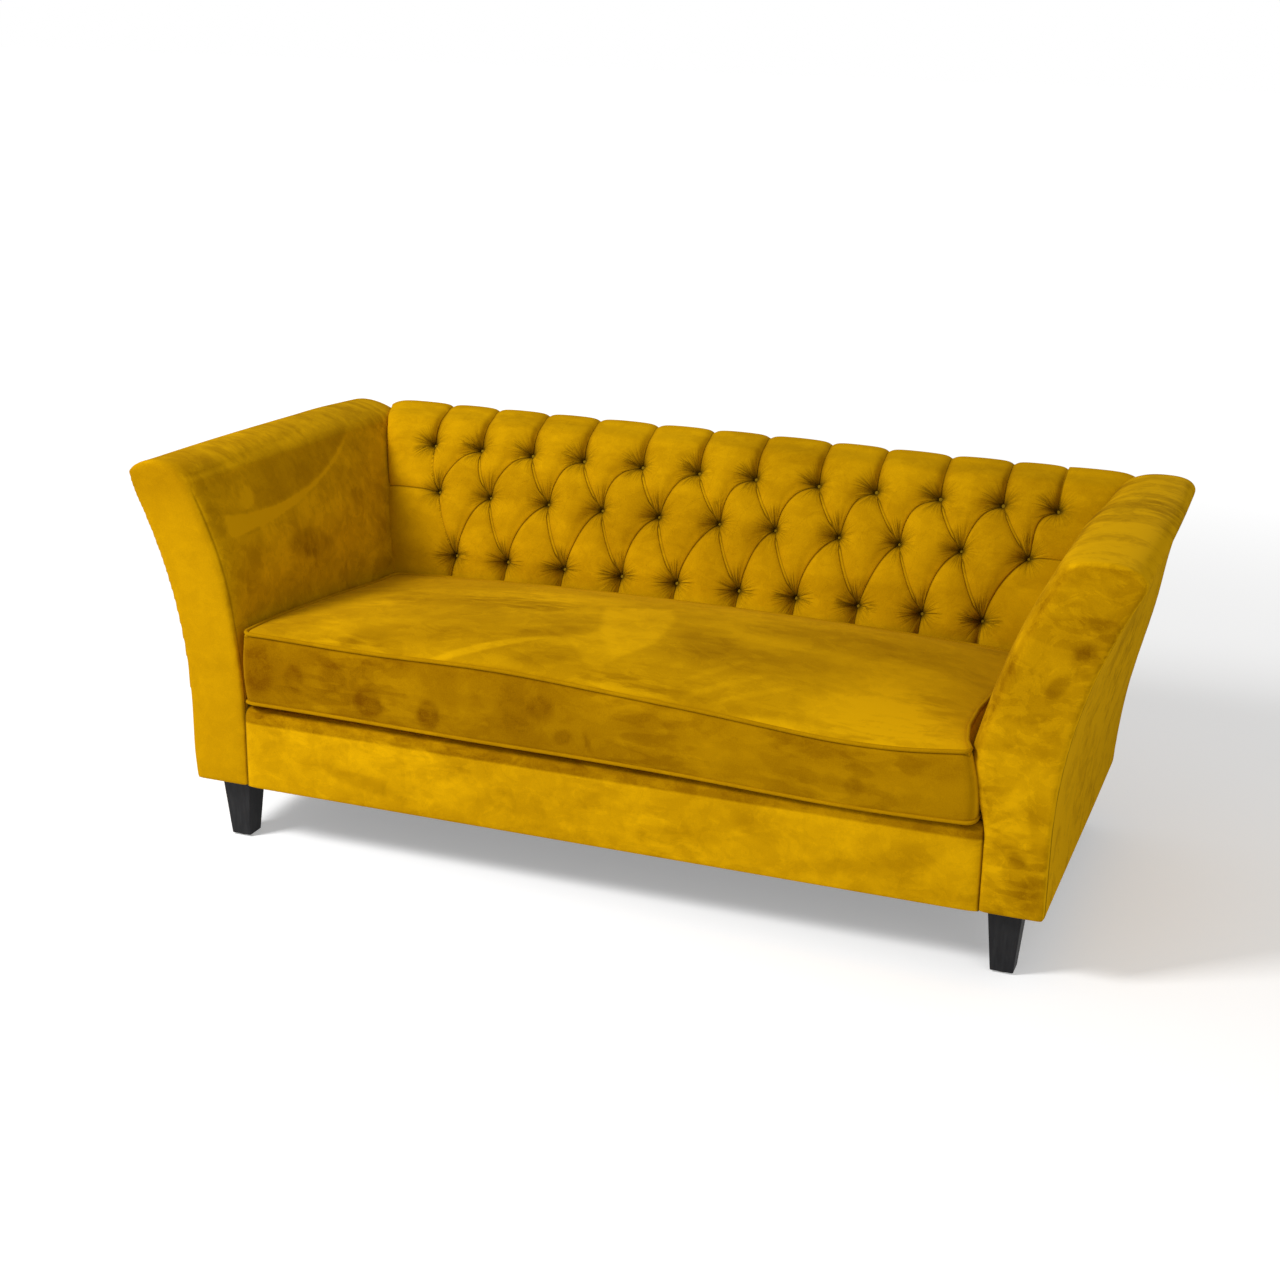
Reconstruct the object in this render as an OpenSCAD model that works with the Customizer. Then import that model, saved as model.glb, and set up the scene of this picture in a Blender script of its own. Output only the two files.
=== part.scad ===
/* [Overall] */
// Clear width between the arms at seat height
inside_w = 1460; // [1100:10:2000]
// Height of the body's underside above the floor
body_z = 127; // [100:1:160]
// Height of the deck that the cushion lies on
deck_z = 300; // [280:1:330]
// Gap between a soft piece and what it lies against
seat_gap = 0.3; // [0.2:0.1:0.6]

/* [Arms] */
// Depth of the arms from front to rear
arm_d = 812; // [780:2:900]
// Thickness of an arm
arm_t = 114; // [100:1:150]
// Height of the arms at the crown of their front end
arm_h = 780; // [760:1:820]
// Height of the arms at their rear end
arm_rear_h = 747; // [745:1:760]
// Rise of an arm's rounded top above its two long edges
arm_crown = 38; // [24:1:46]
// How far the top of an arm flares outward
arm_flare = 121; // [60:1:150]
// Height at which the flare starts
flare_z = 267; // [230:1:300]
// Power of the flare curve
flare_power = 2.1; // [1.8:0.1:2.6]
// Softening of the long edges along the top of an arm
arm_edge = 16; // [10:1:24]
// Radius of the arm's upper rear corner
arm_rear_r = 90; // [50:1:110]
// Padding on the inner face of an arm
arm_pad_in = 16; // [10:1:20]
// Extra swell of that padding above the cushion
arm_swell = 26; // [10:1:34]
// Padding on the outer face of an arm
arm_pad_out = 8; // [5:1:14]
// Padding on top of an arm
arm_pad_top = 20; // [12:1:28]
// Padding on the rear face of an arm
arm_pad_rear = 10; // [6:1:16]
// Thickness of the padded panel on the front of an arm
arm_front_t = 12; // [8:1:18]

/* [Timber] */
// Thickness of the rails and posts
rail_t = 28; // [22:1:34]
// Thickness of the plywood ribs in the arms
rib_t = 22; // [15:1:28]
// Depth of the boards that tie the ribs together
tie_h = 34; // [24:1:44]
// Width of the back posts
post_w = 60; // [40:1:80]
// Height of the top rail of the back
top_rail_h = 60; // [40:1:80]
// Thickness of the boards on both sides of an arm frame
board_t = 3; // [2:0.5:4]
// Leg length of a corner block
block_l = 80; // [50:1:110]

/* [Front border] */
// Thickness of the padded front border
border_t = 24; // [18:1:30]
// Height of the border's top below the deck
border_drop = 7; // [3:1:12]

/* [Back] */
// Lean of the outside back from upright, in degrees
back_lean = 7; // [4:0.5:9]
// Thickness of the outside back panel
outside_t = 8; // [5:1:12]
// Depth of the back at its foot, from the tufted face to the rear of the arms
back_depth = 184; // [150:1:200]
// Lean of the tufted face at its foot, in degrees
back_foot_lean = 7.5; // [5:0.5:10]
// Radius of the tufted face's backward curve
back_r = 720; // [650:10:900]
// Radius of the roll along the top of the back
roll_r = 24; // [18:1:30]
// Thickness of the webbing
web_t = 1.6; // [1.2:0.1:2.4]
// Width of one webbing strap
web_w = 50; // [40:1:60]

/* [Tufting] */
// Distance between two buttons in a row
tuft_pitch = 130; // [120:1:134]
// Number of buttons in the top row
tuft_count = 12; // [8:1:12]
// Distance from the foot of the back to the lowest row, along the face
tuft_first = 150; // [120:1:170]
// Distance between two rows, along the face
tuft_row = 119; // [100:1:124]
// How far the middle row sits above halfway
tuft_mid = 14; // [0:1:18]
// Distance from the top row to the notches in the top edge
tuft_last = 97; // [85:1:104]
// Height of a diamond's crown above the buttons
tuft_rise = 34; // [20:1:38]
// Height of a pleat between two buttons
pleat_rise = 13; // [6:1:16]
// Radius of a covered button
button_r = 10; // [7:0.5:12]
// Thickness of a button
button_t = 6; // [4:0.5:8]
// Depth of the pocket under a button
pocket_d = 4; // [2:0.5:6]
// Tilt of the buttons' axes above level, in degrees
button_tilt = 18; // [10:1:24]
// Radius of the tie behind a button
tie_r = 1.2; // [0.8:0.1:1.6]

/* [Seat springs] */
// Number of sinuous springs
spring_count = 9; // [5:1:11]
// Radius of the spring wire
wire_r = 2.1; // [1.5:0.1:2.6]
// Width of a spring
spring_w = 52; // [44:1:60]
// Distance between two rungs of a spring
rung_pitch = 34; // [28:1:40]
// Rise of a spring's arch above its clips
spring_arch = 10; // [4:1:14]
// Radius of the wires that tie the springs together
cross_r = 2; // [1.5:0.1:2.5]
// Thickness of the deck pad
deck_t = 16; // [10:1:22]
// Thickness of a spring clip's sheet
clip_t = 1.2; // [1:0.1:1.6]
// Width of a spring clip
clip_w = 16; // [10:1:18]

/* [Cushion] */
// Gap between the cushion and each arm
cushion_side_gap = 10; // [6:1:20]
// How far the cushion stands in front of the arms
cushion_proud = 8; // [0:1:20]
// Gap between the cushion and the foot of the tufted face
cushion_rear_gap = 30; // [28:1:60]
// Height of the cushion at its edges
cushion_h = 149; // [110:1:170]
// Rise of the crown above the edges
crown = 34; // [10:1:38]
// How far the front edge droops, right of the middle
front_droop = 37; // [0:1:40]
// How far the rear edge sinks at its middle
rear_sag = 22; // [0:1:30]
// How much further the rear edge sinks at its ends
end_sag = 18; // [0:1:24]
// Radius of the cushion's upright corners
cushion_corner_r = 34; // [24:1:50]
// Thickness of the cover with its wadding
cover_t = 10; // [8:1:14]
// Radius of the piping
pipe_r = 4; // [3:0.5:5]

/* [Zip] */
// Length of the zip
zip_l = 1080; // [600:10:1200]
// Width of the zip tape
tape_w = 30; // [22:1:36]
// Thickness of the zip tape
tape_t = 0.8; // [0.6:0.1:1.2]
// Width of the closed chain of teeth
chain_w = 6; // [4.5:0.1:7]
// Thickness of the chain of teeth
chain_t = 1.4; // [1:0.1:1.6]
// Length of the slider
slider_l = 14; // [10:1:18]

/* [Legs] */
// Width of a leg at its top
leg_top_w = 62; // [50:1:70]
// Width of a leg at its foot
leg_foot_w = 42; // [30:1:48]
// Radius of the legs' upright edges
leg_edge_r = 3; // [1:0.5:6]
// Distance from an arm's inner face to the middle of a leg
leg_in = 42; // [40:1:50]
// Distance from the front of the arms to the front of a leg
leg_set = 28; // [20:1:50]
// Radius of the glide under a leg
glide_r = 15; // [10:1:18]
// Thickness of the glide
glide_t = 4; // [2:0.5:6]
// Width of a leg plate
plate_w = 44; // [36:1:46]
// Thickness of a leg plate
plate_t = 2; // [1.5:0.5:3]
// Radius of the leg bolts and arm bolts
bolt_r = 4; // [3:0.5:5]
// Length of a leg bolt inside the leg
bolt_in_leg = 35; // [20:1:50]
// Radial clearance of a bolt in its hole
bolt_clear = 0.3; // [0.2:0.1:0.5]
// Thickness of the dust cover
dust_t = 1.2; // [0.8:0.1:2]
// Distance from the body's edges to the dust cover
dust_in = 12; // [6:1:20]

/* [Hidden] */

velvet = [0.80, 0.58, 0.05];
velvet_dark = [0.66, 0.46, 0.03];
timber = [0.80, 0.66, 0.46];
board_tan = [0.58, 0.44, 0.28];
black_wood = [0.07, 0.07, 0.07];
steel = [0.62, 0.63, 0.65];
foam = [0.93, 0.90, 0.78];
cambric = [0.12, 0.12, 0.12];

half = inside_w / 2;
frame_z = body_z + plate_t;
deck_low = deck_z - seat_gap - deck_t;
spring_z = deck_low - seat_gap - wire_r - spring_arch;
rail_z = spring_z - wire_r - clip_t - seat_gap;
rail_front = border_t + seat_gap;
rail_rear = rail_front + rail_t;
arm_edge_z = arm_h - arm_crown;
frame_in = arm_pad_in + seat_gap + board_t;
frame_out = arm_pad_out + seat_gap + board_t;
frame_top = arm_pad_top + seat_gap;
rib_y0 = arm_front_t + seat_gap;
rib_y1 = arm_d - arm_pad_rear - seat_gap;

/* Slanted planes of the back: off is measured square to the outside back, inwards. */
function lean_y(z, off) = arm_d + (z - body_z) * tan(back_lean) - off / cos(back_lean);
post_front = outside_t + seat_gap + rail_t;
web_off = post_front + seat_gap;
pad_rear = web_off + web_t + seat_gap;

/* The tufted face: an arc that starts at its foot and leans further back as it rises. */
back_foot_y = arm_d - back_depth;
pad_foot_z = deck_z + seat_gap;
face_s = tuft_first + 2 * tuft_row + tuft_last;
function face_angle(s) = back_foot_lean + s / back_r * 180 / PI;
function face_point(s) = [
    back_foot_y + back_r * (cos(back_foot_lean) - cos(face_angle(s))),
    pad_foot_z + back_r * (sin(face_angle(s)) - sin(back_foot_lean))
];
function face_out(a) = [-cos(a), sin(a)];
roll_centre = face_point(face_s) - roll_r * face_out(face_angle(face_s));
rear_y = roll_centre[0] + roll_r;
back_top_z = roll_centre[1] - roll_r * 0.5;

/* The cushion's box, from which its cover, core, piping and zip are set out. */
cushion_half = half - cushion_side_gap - pipe_r;
cushion_y0 = -cushion_proud;
cushion_y1 = back_foot_y - cushion_rear_gap;
pipe_in = 1;
cushion_z0 = deck_z + pipe_r - pipe_in;
cushion_z1 = deck_z + cushion_h;
chain_y = cushion_y1 + seat_gap + tape_t;
chain_z = (cushion_z0 + cushion_z1) / 2;
neck_w = chain_w / 2;
neck_t = 1.2;
slide_gap = 0.25;
slider_wall = 1;

front_y = cushion_y0 - (pipe_r - pipe_in);
mid_y = (front_y + rear_y) / 2;

leg_x = half + leg_in;
leg_y = [leg_set + leg_top_w / 2, arm_d - leg_set - leg_top_w / 2];
arm_bolt_z = (frame_z + frame_z + tie_h) / 2;
arm_bolt_y = [for (f = [0.2, 0.5, 0.8]) rail_rear + f * (lean_y(frame_z, post_front) - rail_rear)];
head_r = 2 * bolt_r;
head_t = 4;

/* Moves a piece from the arm-front datum to the part's own origin. */
module placed() translate([0, -mid_y, 0]) children();

module both_sides() {
    children();
    mirror([1, 0, 0]) children();
}

/* Draws a side view (depth, height) and gives it a width from x0 to x1. */
module side_slab(x0, x1, outline)
    translate([x0, 0, 0]) rotate([90, 0, 90]) linear_extrude(x1 - x0) polygon(outline);

/* Draws a front view (width, height) and gives it a depth from y0 to y1. */
module front_slab(y0, y1, outline)
    translate([0, y1, 0]) rotate([90, 0, 0]) linear_extrude(y1 - y0) polygon(outline);

module span(a, b)
    translate(a) cube(b - a);

/* Arc that rounds corner b of the path a-b-c with radius r. */
function fillet(a, b, c, r, steps) =
    let (u = (a - b) / norm(a - b), v = (c - b) / norm(c - b), turn = acos(u * v),
         centre = b + (u + v) / norm(u + v) * r / sin(turn / 2),
         p = b + u * r / tan(turn / 2) - centre, q = b + v * r / tan(turn / 2) - centre,
         a0 = atan2(p[1], p[0]), sweep = (atan2(q[1], q[0]) - a0 + 540) % 360 - 180)
    [for (i = [0:steps]) centre + r * [cos(a0 + sweep * i / steps), sin(a0 + sweep * i / steps)]];

function rounded_box(x0, y0, x1, y1, r, steps) =
    let (c = [[x0, y0], [x1, y0], [x1, y1], [x0, y1]])
    [for (i = [0:3]) each fillet(c[(i + 3) % 4], c[i], c[(i + 1) % 4], r, steps)];

/* ---- arms ---- */

/* How far the arm's side has moved outward at height z, by straight steps between set heights
   so that sides at different depths in the arm stay parallel. */
flare_steps = 14;
flare_table = [for (i = [0:flare_steps]) let (f = i / flare_steps)
    [flare_z + (arm_edge_z - flare_z) * f, arm_flare * pow(f, flare_power)]];
function flare_at(z) = lookup(z, flare_table);

/* Share of the inner padding's swell at height z: none beside the cushion, all of it higher up. */
swell_rise = 160;
function swell_at(z) =
    let (t = max(0, min(1, (z - cushion_z1) / swell_rise))) t * t * (3 - 2 * t);

/* One side of an arm's front view, from z0 up to z1: straight, then the flare, less the swell. */
function flare_line(off, z0, z1, swell = 0) = concat(
    [[half + off, z0]],
    [for (p = flare_table) if (p[0] > z0 && p[0] < z1 - 0.1) [half + off + p[1] - swell * swell_at(p[0]), p[0]]],
    [[half + off + swollen_at(z1, swell), z1]]);

function swollen_at(z, swell) = lookup(z, [for (p = flare_table) [p[0], p[1] - swell * swell_at(p[0])]]);

function reversed(list) = [for (i = [len(list) - 1:-1:0]) list[i]];

/* A soft corner: the curve from p to q that is drawn towards c. */
function bend(p, c, q, steps) = [for (i = [0:steps]) let (t = i / steps)
    (1 - t) * (1 - t) * p + 2 * t * (1 - t) * c + t * t * q];

/* The arm's front view, inset by in, out and top: two flared sides under a rounded crown. */
function arm_outline(in, out, top, z0, swell) =
    let (z1 = arm_edge_z - top, z2 = z1 - arm_edge, wide = arm_t - in - out + swell,
         x0 = half + in + flare_at(z1) - swell, r = (wide * wide / 4 + arm_crown * arm_crown) / (2 * arm_crown),
         crown = function (u) [x0 + u, z1 + arm_crown - r + sqrt(r * r - pow(u - wide / 2, 2))],
         k = min(arm_edge, wide / 4), left = flare_line(in, z0, z2, swell),
         right = flare_line(arm_t - out, z0, z2))
    concat(left, bend([half + in + swollen_at(z2, swell), z2], [x0, z1], crown(k), 4),
           [for (i = [1:7]) crown(k + (wide - 2 * k) * i / 8)],
           bend(crown(wide - k), [x0 + wide, z1], [half + arm_t - out + flare_at(z2), z2], 4),
           reversed(right));

/* The arm's side view from y0 back: the top falls to the rear, the rear end leans with the back. */
function arm_side(y0, rear, top, z0) =
    let (front = [y0, arm_h - top], tip = [lean_y(arm_rear_h - top, rear), arm_rear_h - top],
         foot = [lean_y(z0, rear), z0])
    concat([[y0, z0], front], fillet(front, tip, foot, arm_rear_r - rear, 8), [foot]);

module arm_block(in, out, top, rear, y0, z0, swell = 0)
    intersection() {
        front_slab(y0, 2 * arm_d, arm_outline(in, out, top, z0, swell));
        side_slab(half - arm_swell, half + arm_t + 2 * arm_flare, arm_side(y0, rear, top, z0));
    }

module arm_bolt_holes(r)
    for (y = arm_bolt_y)
        translate([half - rail_t - 1, y, arm_bolt_z]) rotate([0, 90, 0])
            cylinder(h = rail_t + frame_in + tie_h, r = r);

module arm_cover()
    difference() {
        arm_block(0, 0, 0, 0, arm_front_t, body_z, arm_swell);
        arm_block(arm_pad_in, arm_pad_out, arm_pad_top, arm_pad_rear, arm_front_t - 1, body_z - 1);
        arm_bolt_holes(bolt_r + bolt_clear);
    }

module arm_front()
    intersection() {
        arm_block(0, 0, 0, 0, 0, body_z, arm_swell / 2);
        span([0, 0, 0], [2 * inside_w, arm_front_t, 2 * arm_h]);
    }

/* Plywood ribs at the front, middle and rear, tied by boards that follow the same profile. */
module arm_frame() {
    top_z = arm_edge_z - frame_top - tie_h / 2;
    wide = [half, half + arm_t + 2 * arm_flare];
    difference() {
        intersection() {
            arm_block(frame_in, frame_out, frame_top, arm_pad_rear + seat_gap, rib_y0, frame_z);
            union() {
                for (y = [rib_y0, (rib_y0 + rib_y1 - rib_t) / 2, rib_y1 - rib_t])
                    span([wide[0], y, frame_z], [wide[1], y + rib_t, arm_h]);
                for (z = [frame_z, (frame_z + top_z) / 2, top_z])
                    span([wide[0], rib_y0, z], [wide[1], 2 * arm_d, z == top_z ? arm_h : z + tie_h]);
            }
        }
        arm_bolt_holes(bolt_r + bolt_clear);
        for (y = leg_y)
            translate([leg_x, y, frame_z - 1]) cylinder(h = tie_h + 2, r = bolt_r + bolt_clear);
    }
}

/* Thin boards on both sides of the frame, which the padding lies on. */
module arm_boards() {
    top_z = arm_edge_z - frame_top - 2 * arm_edge;
    for (off = [arm_pad_in + seat_gap, arm_t - arm_pad_out - seat_gap - board_t])
        difference() {
            front_slab(rib_y0, rib_y1, concat(
                flare_line(off, frame_z, top_z),
                reversed(flare_line(off + board_t, frame_z, top_z))));
            arm_bolt_holes(bolt_r + bolt_clear);
        }
}

/* ---- seat box ---- */

function seat_box_side(y0, z0, z1) =
    [[y0, z0], [lean_y(z0, post_front), z0], [lean_y(z1, post_front), z1], [y0, z1]];

module front_seat_rail() color(timber) placed()
    span([-half + seat_gap, rail_front, frame_z], [half - seat_gap, rail_rear, rail_z]);

module rear_seat_rail() color(timber) placed()
    side_slab(-half + seat_gap, half - seat_gap, [
        [lean_y(frame_z, post_front), frame_z], [lean_y(frame_z, outside_t + seat_gap), frame_z],
        [lean_y(rail_z, outside_t + seat_gap), rail_z], [lean_y(rail_z, post_front), rail_z]]);

module seat_rail()
    difference() {
        side_slab(half - seat_gap - rail_t, half - seat_gap, seat_box_side(rail_rear, frame_z, rail_z));
        arm_bolt_holes(bolt_r + bolt_clear);
    }

module left_seat_rail() color(timber) placed() mirror([1, 0, 0]) seat_rail();

module right_seat_rail() color(timber) placed() seat_rail();

/* Two cross members under the springs, level with the foot of the rails. */
module seat_braces() color(timber) placed() {
    brace_z = frame_z + 2 * tie_h;
    for (x = [-inside_w / 6, inside_w / 6])
        side_slab(x - rail_t / 2, x + rail_t / 2, seat_box_side(rail_rear, frame_z, brace_z));
}

module corner_blocks() color(timber) placed() both_sides() {
    low = arm_bolt_z + head_r + 2;
    corner = half - seat_gap - rail_t;
    rear = lean_y(low, post_front);
    intersection() {
        side_slab(0, half, seat_box_side(rail_rear, low, rail_z - clip_t));
        translate([0, 0, low]) linear_extrude(rail_z) {
            polygon([[corner, rail_rear], [corner - block_l, rail_rear], [corner, rail_rear + block_l]]);
            polygon([[corner, rear - block_l], [corner, rear + rail_t], [corner - block_l, rear + rail_t],
                     [corner - block_l, rear]]);
        }
    }
}

/* ---- springs ---- */

spring_y0 = rail_front + rail_t / 2;
spring_run = lean_y(rail_z, post_front - rail_t / 2) - spring_y0;
rung_count = floor(spring_run / rung_pitch);
rung_step = spring_run / rung_count;
spring_pitch = (inside_w - 2 * post_w - 2 * spring_w) / (spring_count - 1);
spring_x = [for (i = [0:spring_count - 1]) (i - (spring_count - 1) / 2) * spring_pitch];

/* Height of the arch at fraction t of the spring's length. */
function arch_at(t) = spring_arch * (1 - pow(2 * t - 1, 2));

/* The zigzag path: straight rungs joined by half loops on alternate sides. */
function spring_path() =
    let (bend = rung_step / 2, reach = spring_w / 2 - bend, loops = rung_count - 1)
    concat([[-reach, 0, 0], [reach, 0, 0]],
           [for (i = [0:loops], k = [-60, 0, 60])
               let (side = i % 2 == 0 ? 1 : -1, y = (i + 0.5) * rung_step + bend * sin(k))
               [side * (reach + bend * cos(k)), y, arch_at(y / spring_run)]],
           [for (side = loops % 2 == 0 ? [1, -1] : [-1, 1]) [side * reach, spring_run, 0]]);

/* A round wire of radius r along a path, with its cross-section held square to the path. */
module wire(path, r, sides) {
    n = len(path);
    ring = [for (i = [0:n - 1])
        let (t = path[min(i + 1, n - 1)] - path[max(i - 1, 0)], u = t / norm(t),
             across = cross([0, 0, 1], u) / norm(cross([0, 0, 1], u)), up = cross(u, across))
        each [for (k = [0:sides - 1])
            path[i] + r * (cos(360 * k / sides) * across + sin(360 * k / sides) * up)]];
    walls = [for (i = [0:n - 2], k = [0:sides - 1])
        let (a = i * sides + k, b = i * sides + (k + 1) % sides)
        each [[a, b + sides, b], [a, a + sides, b + sides]]];
    caps = [[for (k = [0:sides - 1]) k], [for (k = [sides - 1:-1:0]) (n - 1) * sides + k]];
    polyhedron(ring, concat(walls, caps));
}

module seat_springs() color(steel) placed()
    for (x = spring_x) translate([x, spring_y0, spring_z]) wire(spring_path(), wire_r, 5);

/* A sheet clip on the rail whose curl holds the spring's end rung. */
module spring_clip() {
    curl = wire_r + seat_gap;
    translate([-clip_w / 2, 0, 0]) rotate([90, 0, 90]) linear_extrude(clip_w)
        difference() {
            union() {
                circle(r = curl + clip_t, $fn = 32);
                translate([-rail_t / 2, -curl - clip_t]) square([rail_t - 4, clip_t]);
            }
            circle(r = curl, $fn = 32);
            rotate(-20) translate([0, -0.9 * wire_r]) square([2 * rail_t, 1.8 * wire_r]);
        }
}

module spring_clips() color(steel) placed()
    for (x = spring_x) {
        translate([x, spring_y0, spring_z]) spring_clip();
        translate([x, spring_y0 + spring_run, spring_z]) mirror([0, 1, 0]) spring_clip();
    }

/* Two wires that run under the springs and tie them side by side. */
module cross_wires() color(steel) placed()
    for (f = [1 / 3, 2 / 3])
        translate([-half + seat_gap + rail_t, spring_y0 + spring_run * f,
                   spring_z + arch_at(f) - wire_r - seat_gap - cross_r])
            rotate([0, 90, 0]) cylinder(h = inside_w - 2 * rail_t - 2 * seat_gap, r = cross_r, $fn = 24);

module seat_deck() color(velvet_dark) placed()
    side_slab(-half + seat_gap, half - seat_gap, [
        [rail_front, deck_low], [lean_y(deck_low, pad_rear), deck_low],
        [lean_y(deck_z, pad_rear), deck_z - seat_gap], [rail_front, deck_z - seat_gap]]);

module front_border() color(velvet) placed() {
    top = deck_z - border_drop;
    side_slab(-half + seat_gap, half - seat_gap, concat(
        [[border_t, body_z], [0, body_z]],
        fillet([0, body_z], [0, top], [2 * border_t, top], border_t, 8)));
}

/* ---- arm nodes ---- */

module left_arm_frame() color(timber) placed() mirror([1, 0, 0]) arm_frame();
module right_arm_frame() color(timber) placed() arm_frame();
module left_arm_boards() color(board_tan) placed() mirror([1, 0, 0]) arm_boards();
module right_arm_boards() color(board_tan) placed() arm_boards();
module left_arm_cover() color(velvet) placed() mirror([1, 0, 0]) arm_cover();
module right_arm_cover() color(velvet) placed() arm_cover();
module left_arm_front() color(velvet) placed() mirror([1, 0, 0]) arm_front();
module right_arm_front() color(velvet) placed() arm_front();

/* ---- back ---- */

/* Front view of the space between the arms, from z0 to z1, clear of both. */
function between_arms(z0, z1, clear) =
    let (right = flare_line(-clear, z0, z1, arm_swell))
    concat(right, [for (p = reversed(right)) [-p[0], p[1]]]);

/* A slab parallel to the outside back, from depth off0 to off1 and from z0 to z1. */
module back_slab(x0, x1, off0, off1, z0, z1)
    side_slab(x0, x1, [[lean_y(z0, off1), z0], [lean_y(z0, off0), z0],
                       [lean_y(z1, off0), z1], [lean_y(z1, off1), z1]]);

frame_top_z = back_top_z - seat_gap;

module back_frame() color(timber) placed() {
    frame_rear = outside_t + seat_gap;
    rail_low = frame_top_z - top_rail_h;
    rail_half = half + swollen_at(rail_low, arm_swell) - 2;
    back_slab(-rail_half, rail_half, frame_rear, post_front, rail_low, frame_top_z);
    outer_post = half - post_w / 2 - seat_gap;
    inner_post = spring_x[floor(spring_count * 2 / 3)] - spring_pitch / 2;
    for (x = [-outer_post, -inner_post, inner_post, outer_post])
        back_slab(x - post_w / 2, x + post_w / 2, frame_rear, post_front, rail_z, rail_low);
}

/* The path of a button's tie runs from its pocket straight back to the webbing. */
function row_s(row) = tuft_first + row * tuft_row + (row == 1 ? tuft_mid : 0);
function row_buttons(row) = tuft_count - 2 + row;
function row_x(row) = [for (i = [0:row_buttons(row) - 1]) (i - (row_buttons(row) - 1) / 2) * tuft_pitch];
tie_dir = [cos(button_tilt), -sin(button_tilt)];
function tie_length(p) =
    (lean_y(p[1], web_off + web_t + seat_gap) - p[0]) / (tie_dir[0] - tie_dir[1] * tan(back_lean));

module at_buttons()
    for (row = [0:2], x = row_x(row)) {
        p = face_point(row_s(row));
        $tie = tie_length(p);
        translate([x, p[0], p[1]]) rotate([90 - button_tilt, 0, 0]) children();
    }

module back_webbing() color(board_tan) placed()
    for (row = [0:2]) {
        p = face_point(row_s(row));
        z = p[1] + tie_length(p) * tie_dir[1];
        back_slab(-half + seat_gap, half - seat_gap, web_off, web_off + web_t,
                  z - web_w / 2, z + web_w / 2);
    }

/* Height of the padding above the line through the buttons, at width x and distance s.
   Folds run diagonally between the rows and straight up and down beyond them. */
function tuft_height(x, s) =
    let (row = lookup(s, [for (k = [0:2]) [row_s(k), k]]), a = x / tuft_pitch,
         shift = (row_buttons(0) - 1) / 2, p = a + row / 2 + shift, q = a - row / 2 + shift,
         swell = sqrt(abs(sin(180 * p) * sin(180 * q))),
         near = min([for (k = [0:2]) let (b = (a + shift + k / 2 + 0.5) % 1 - 0.5)
                     norm([b * tuft_pitch, s - row_s(k)])]),
         fade = min(1, 0.55 + 0.45 * s / tuft_first) * min(1, 1 - 0.55 * (s - row_s(2)) / tuft_row))
    fade * (pleat_rise * (1 - exp(-pow(near / 22, 2))) + (tuft_rise - pleat_rise) * pow(swell, 0.8));

/* Columns step evenly through the buttons and then run out to the arm. */
cols_per_pitch = 6;
field = (tuft_count - 1) * cols_per_pitch / 2;
margin = 4;
function col_x(i, edge) =
    let (inner = tuft_pitch * (tuft_count - 1) / 2, k = abs(i) - field)
    sign(i) * (k <= 0 ? abs(i) * tuft_pitch / cols_per_pitch : inner + (edge - inner) * k / margin);

face_steps = concat(
    [for (i = [0:5]) tuft_first * i / 6],
    [for (row = [0, 1], i = [0:4]) row_s(row) + (row_s(row + 1) - row_s(row)) * i / 5],
    [for (i = [0:4]) tuft_first + 2 * tuft_row + tuft_last * i / 4]);

function edge_fade(i) = abs(i) <= field ? 1 : 1 - pow((abs(i) - field) / margin, 3) * 0.75;

/* Point p of the pad's side view, set at column i; the end columns follow the arms. */
function pad_point(i, p) =
    [col_x(i, half + swollen_at(p[1], arm_swell) - pad_clear), p[0], p[1]];

/* Heights of the points down the pad's rear face: those of the arm's own steps, with all of
   them where its padding bulges. */
pad_clear = 1.5;
rear_levels = concat([back_top_z],
    [for (i = [flare_steps:-1:0])
        let (z = flare_table[i][0], bulging = z > cushion_z1 && z < cushion_z1 + swell_rise + 20)
        if (z > pad_foot_z + 10 && z < back_top_z - 10 && (bulging || i % 2 == 1)) z],
    [pad_foot_z]);
rear_count = len(rear_levels) - 1;
function rear_z(j) = rear_levels[j];

/* One upright ring of the pad at column i: the tufted face, the roll, and the flat rear. */
roll_turns = 5;
function pad_ring(i) =
    let (last = face_angle(face_s), end_x = pad_point(i, face_point(face_s))[0])
    concat([for (s = face_steps)
                let (b = face_point(s), h = tuft_height(pad_point(i, b)[0], s) * edge_fade(i))
                pad_point(i, b + face_out(face_angle(s)) * h)],
           [for (k = [1:roll_turns])
               let (a = last + (90 - last) * k / roll_turns,
                    h = tuft_height(end_x, face_s) * edge_fade(i) * (1 - k / roll_turns))
               pad_point(i, roll_centre + face_out(a) * (roll_r + h))],
           [for (a = [120, 150, 180]) pad_point(i, roll_centre + roll_r * face_out(a))],
           [pad_point(i, [lean_y(back_top_z, 0), back_top_z])],
           [for (j = [0:rear_count]) pad_point(i, [lean_y(rear_z(j), pad_rear), rear_z(j)])]);

/* Triangles across the end of the pad, between its face and its rear, level by level. */
function level_with(j) = len([for (s = face_steps) if (face_point(s)[1] < rear_z(j) + 0.01) s]) - 1;
function pad_end(n) =
    let (top = n - 1 - rear_count)
    concat([for (k = [level_with(0):top - 2]) [k, k + 1, top]],
           [for (j = [0:rear_count - 1]) each concat(
               [for (k = [level_with(j + 1):1:level_with(j) - 1]) [k, k + 1, top + j]],
               [[level_with(j + 1), top + j, top + j + 1]])]);

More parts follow.
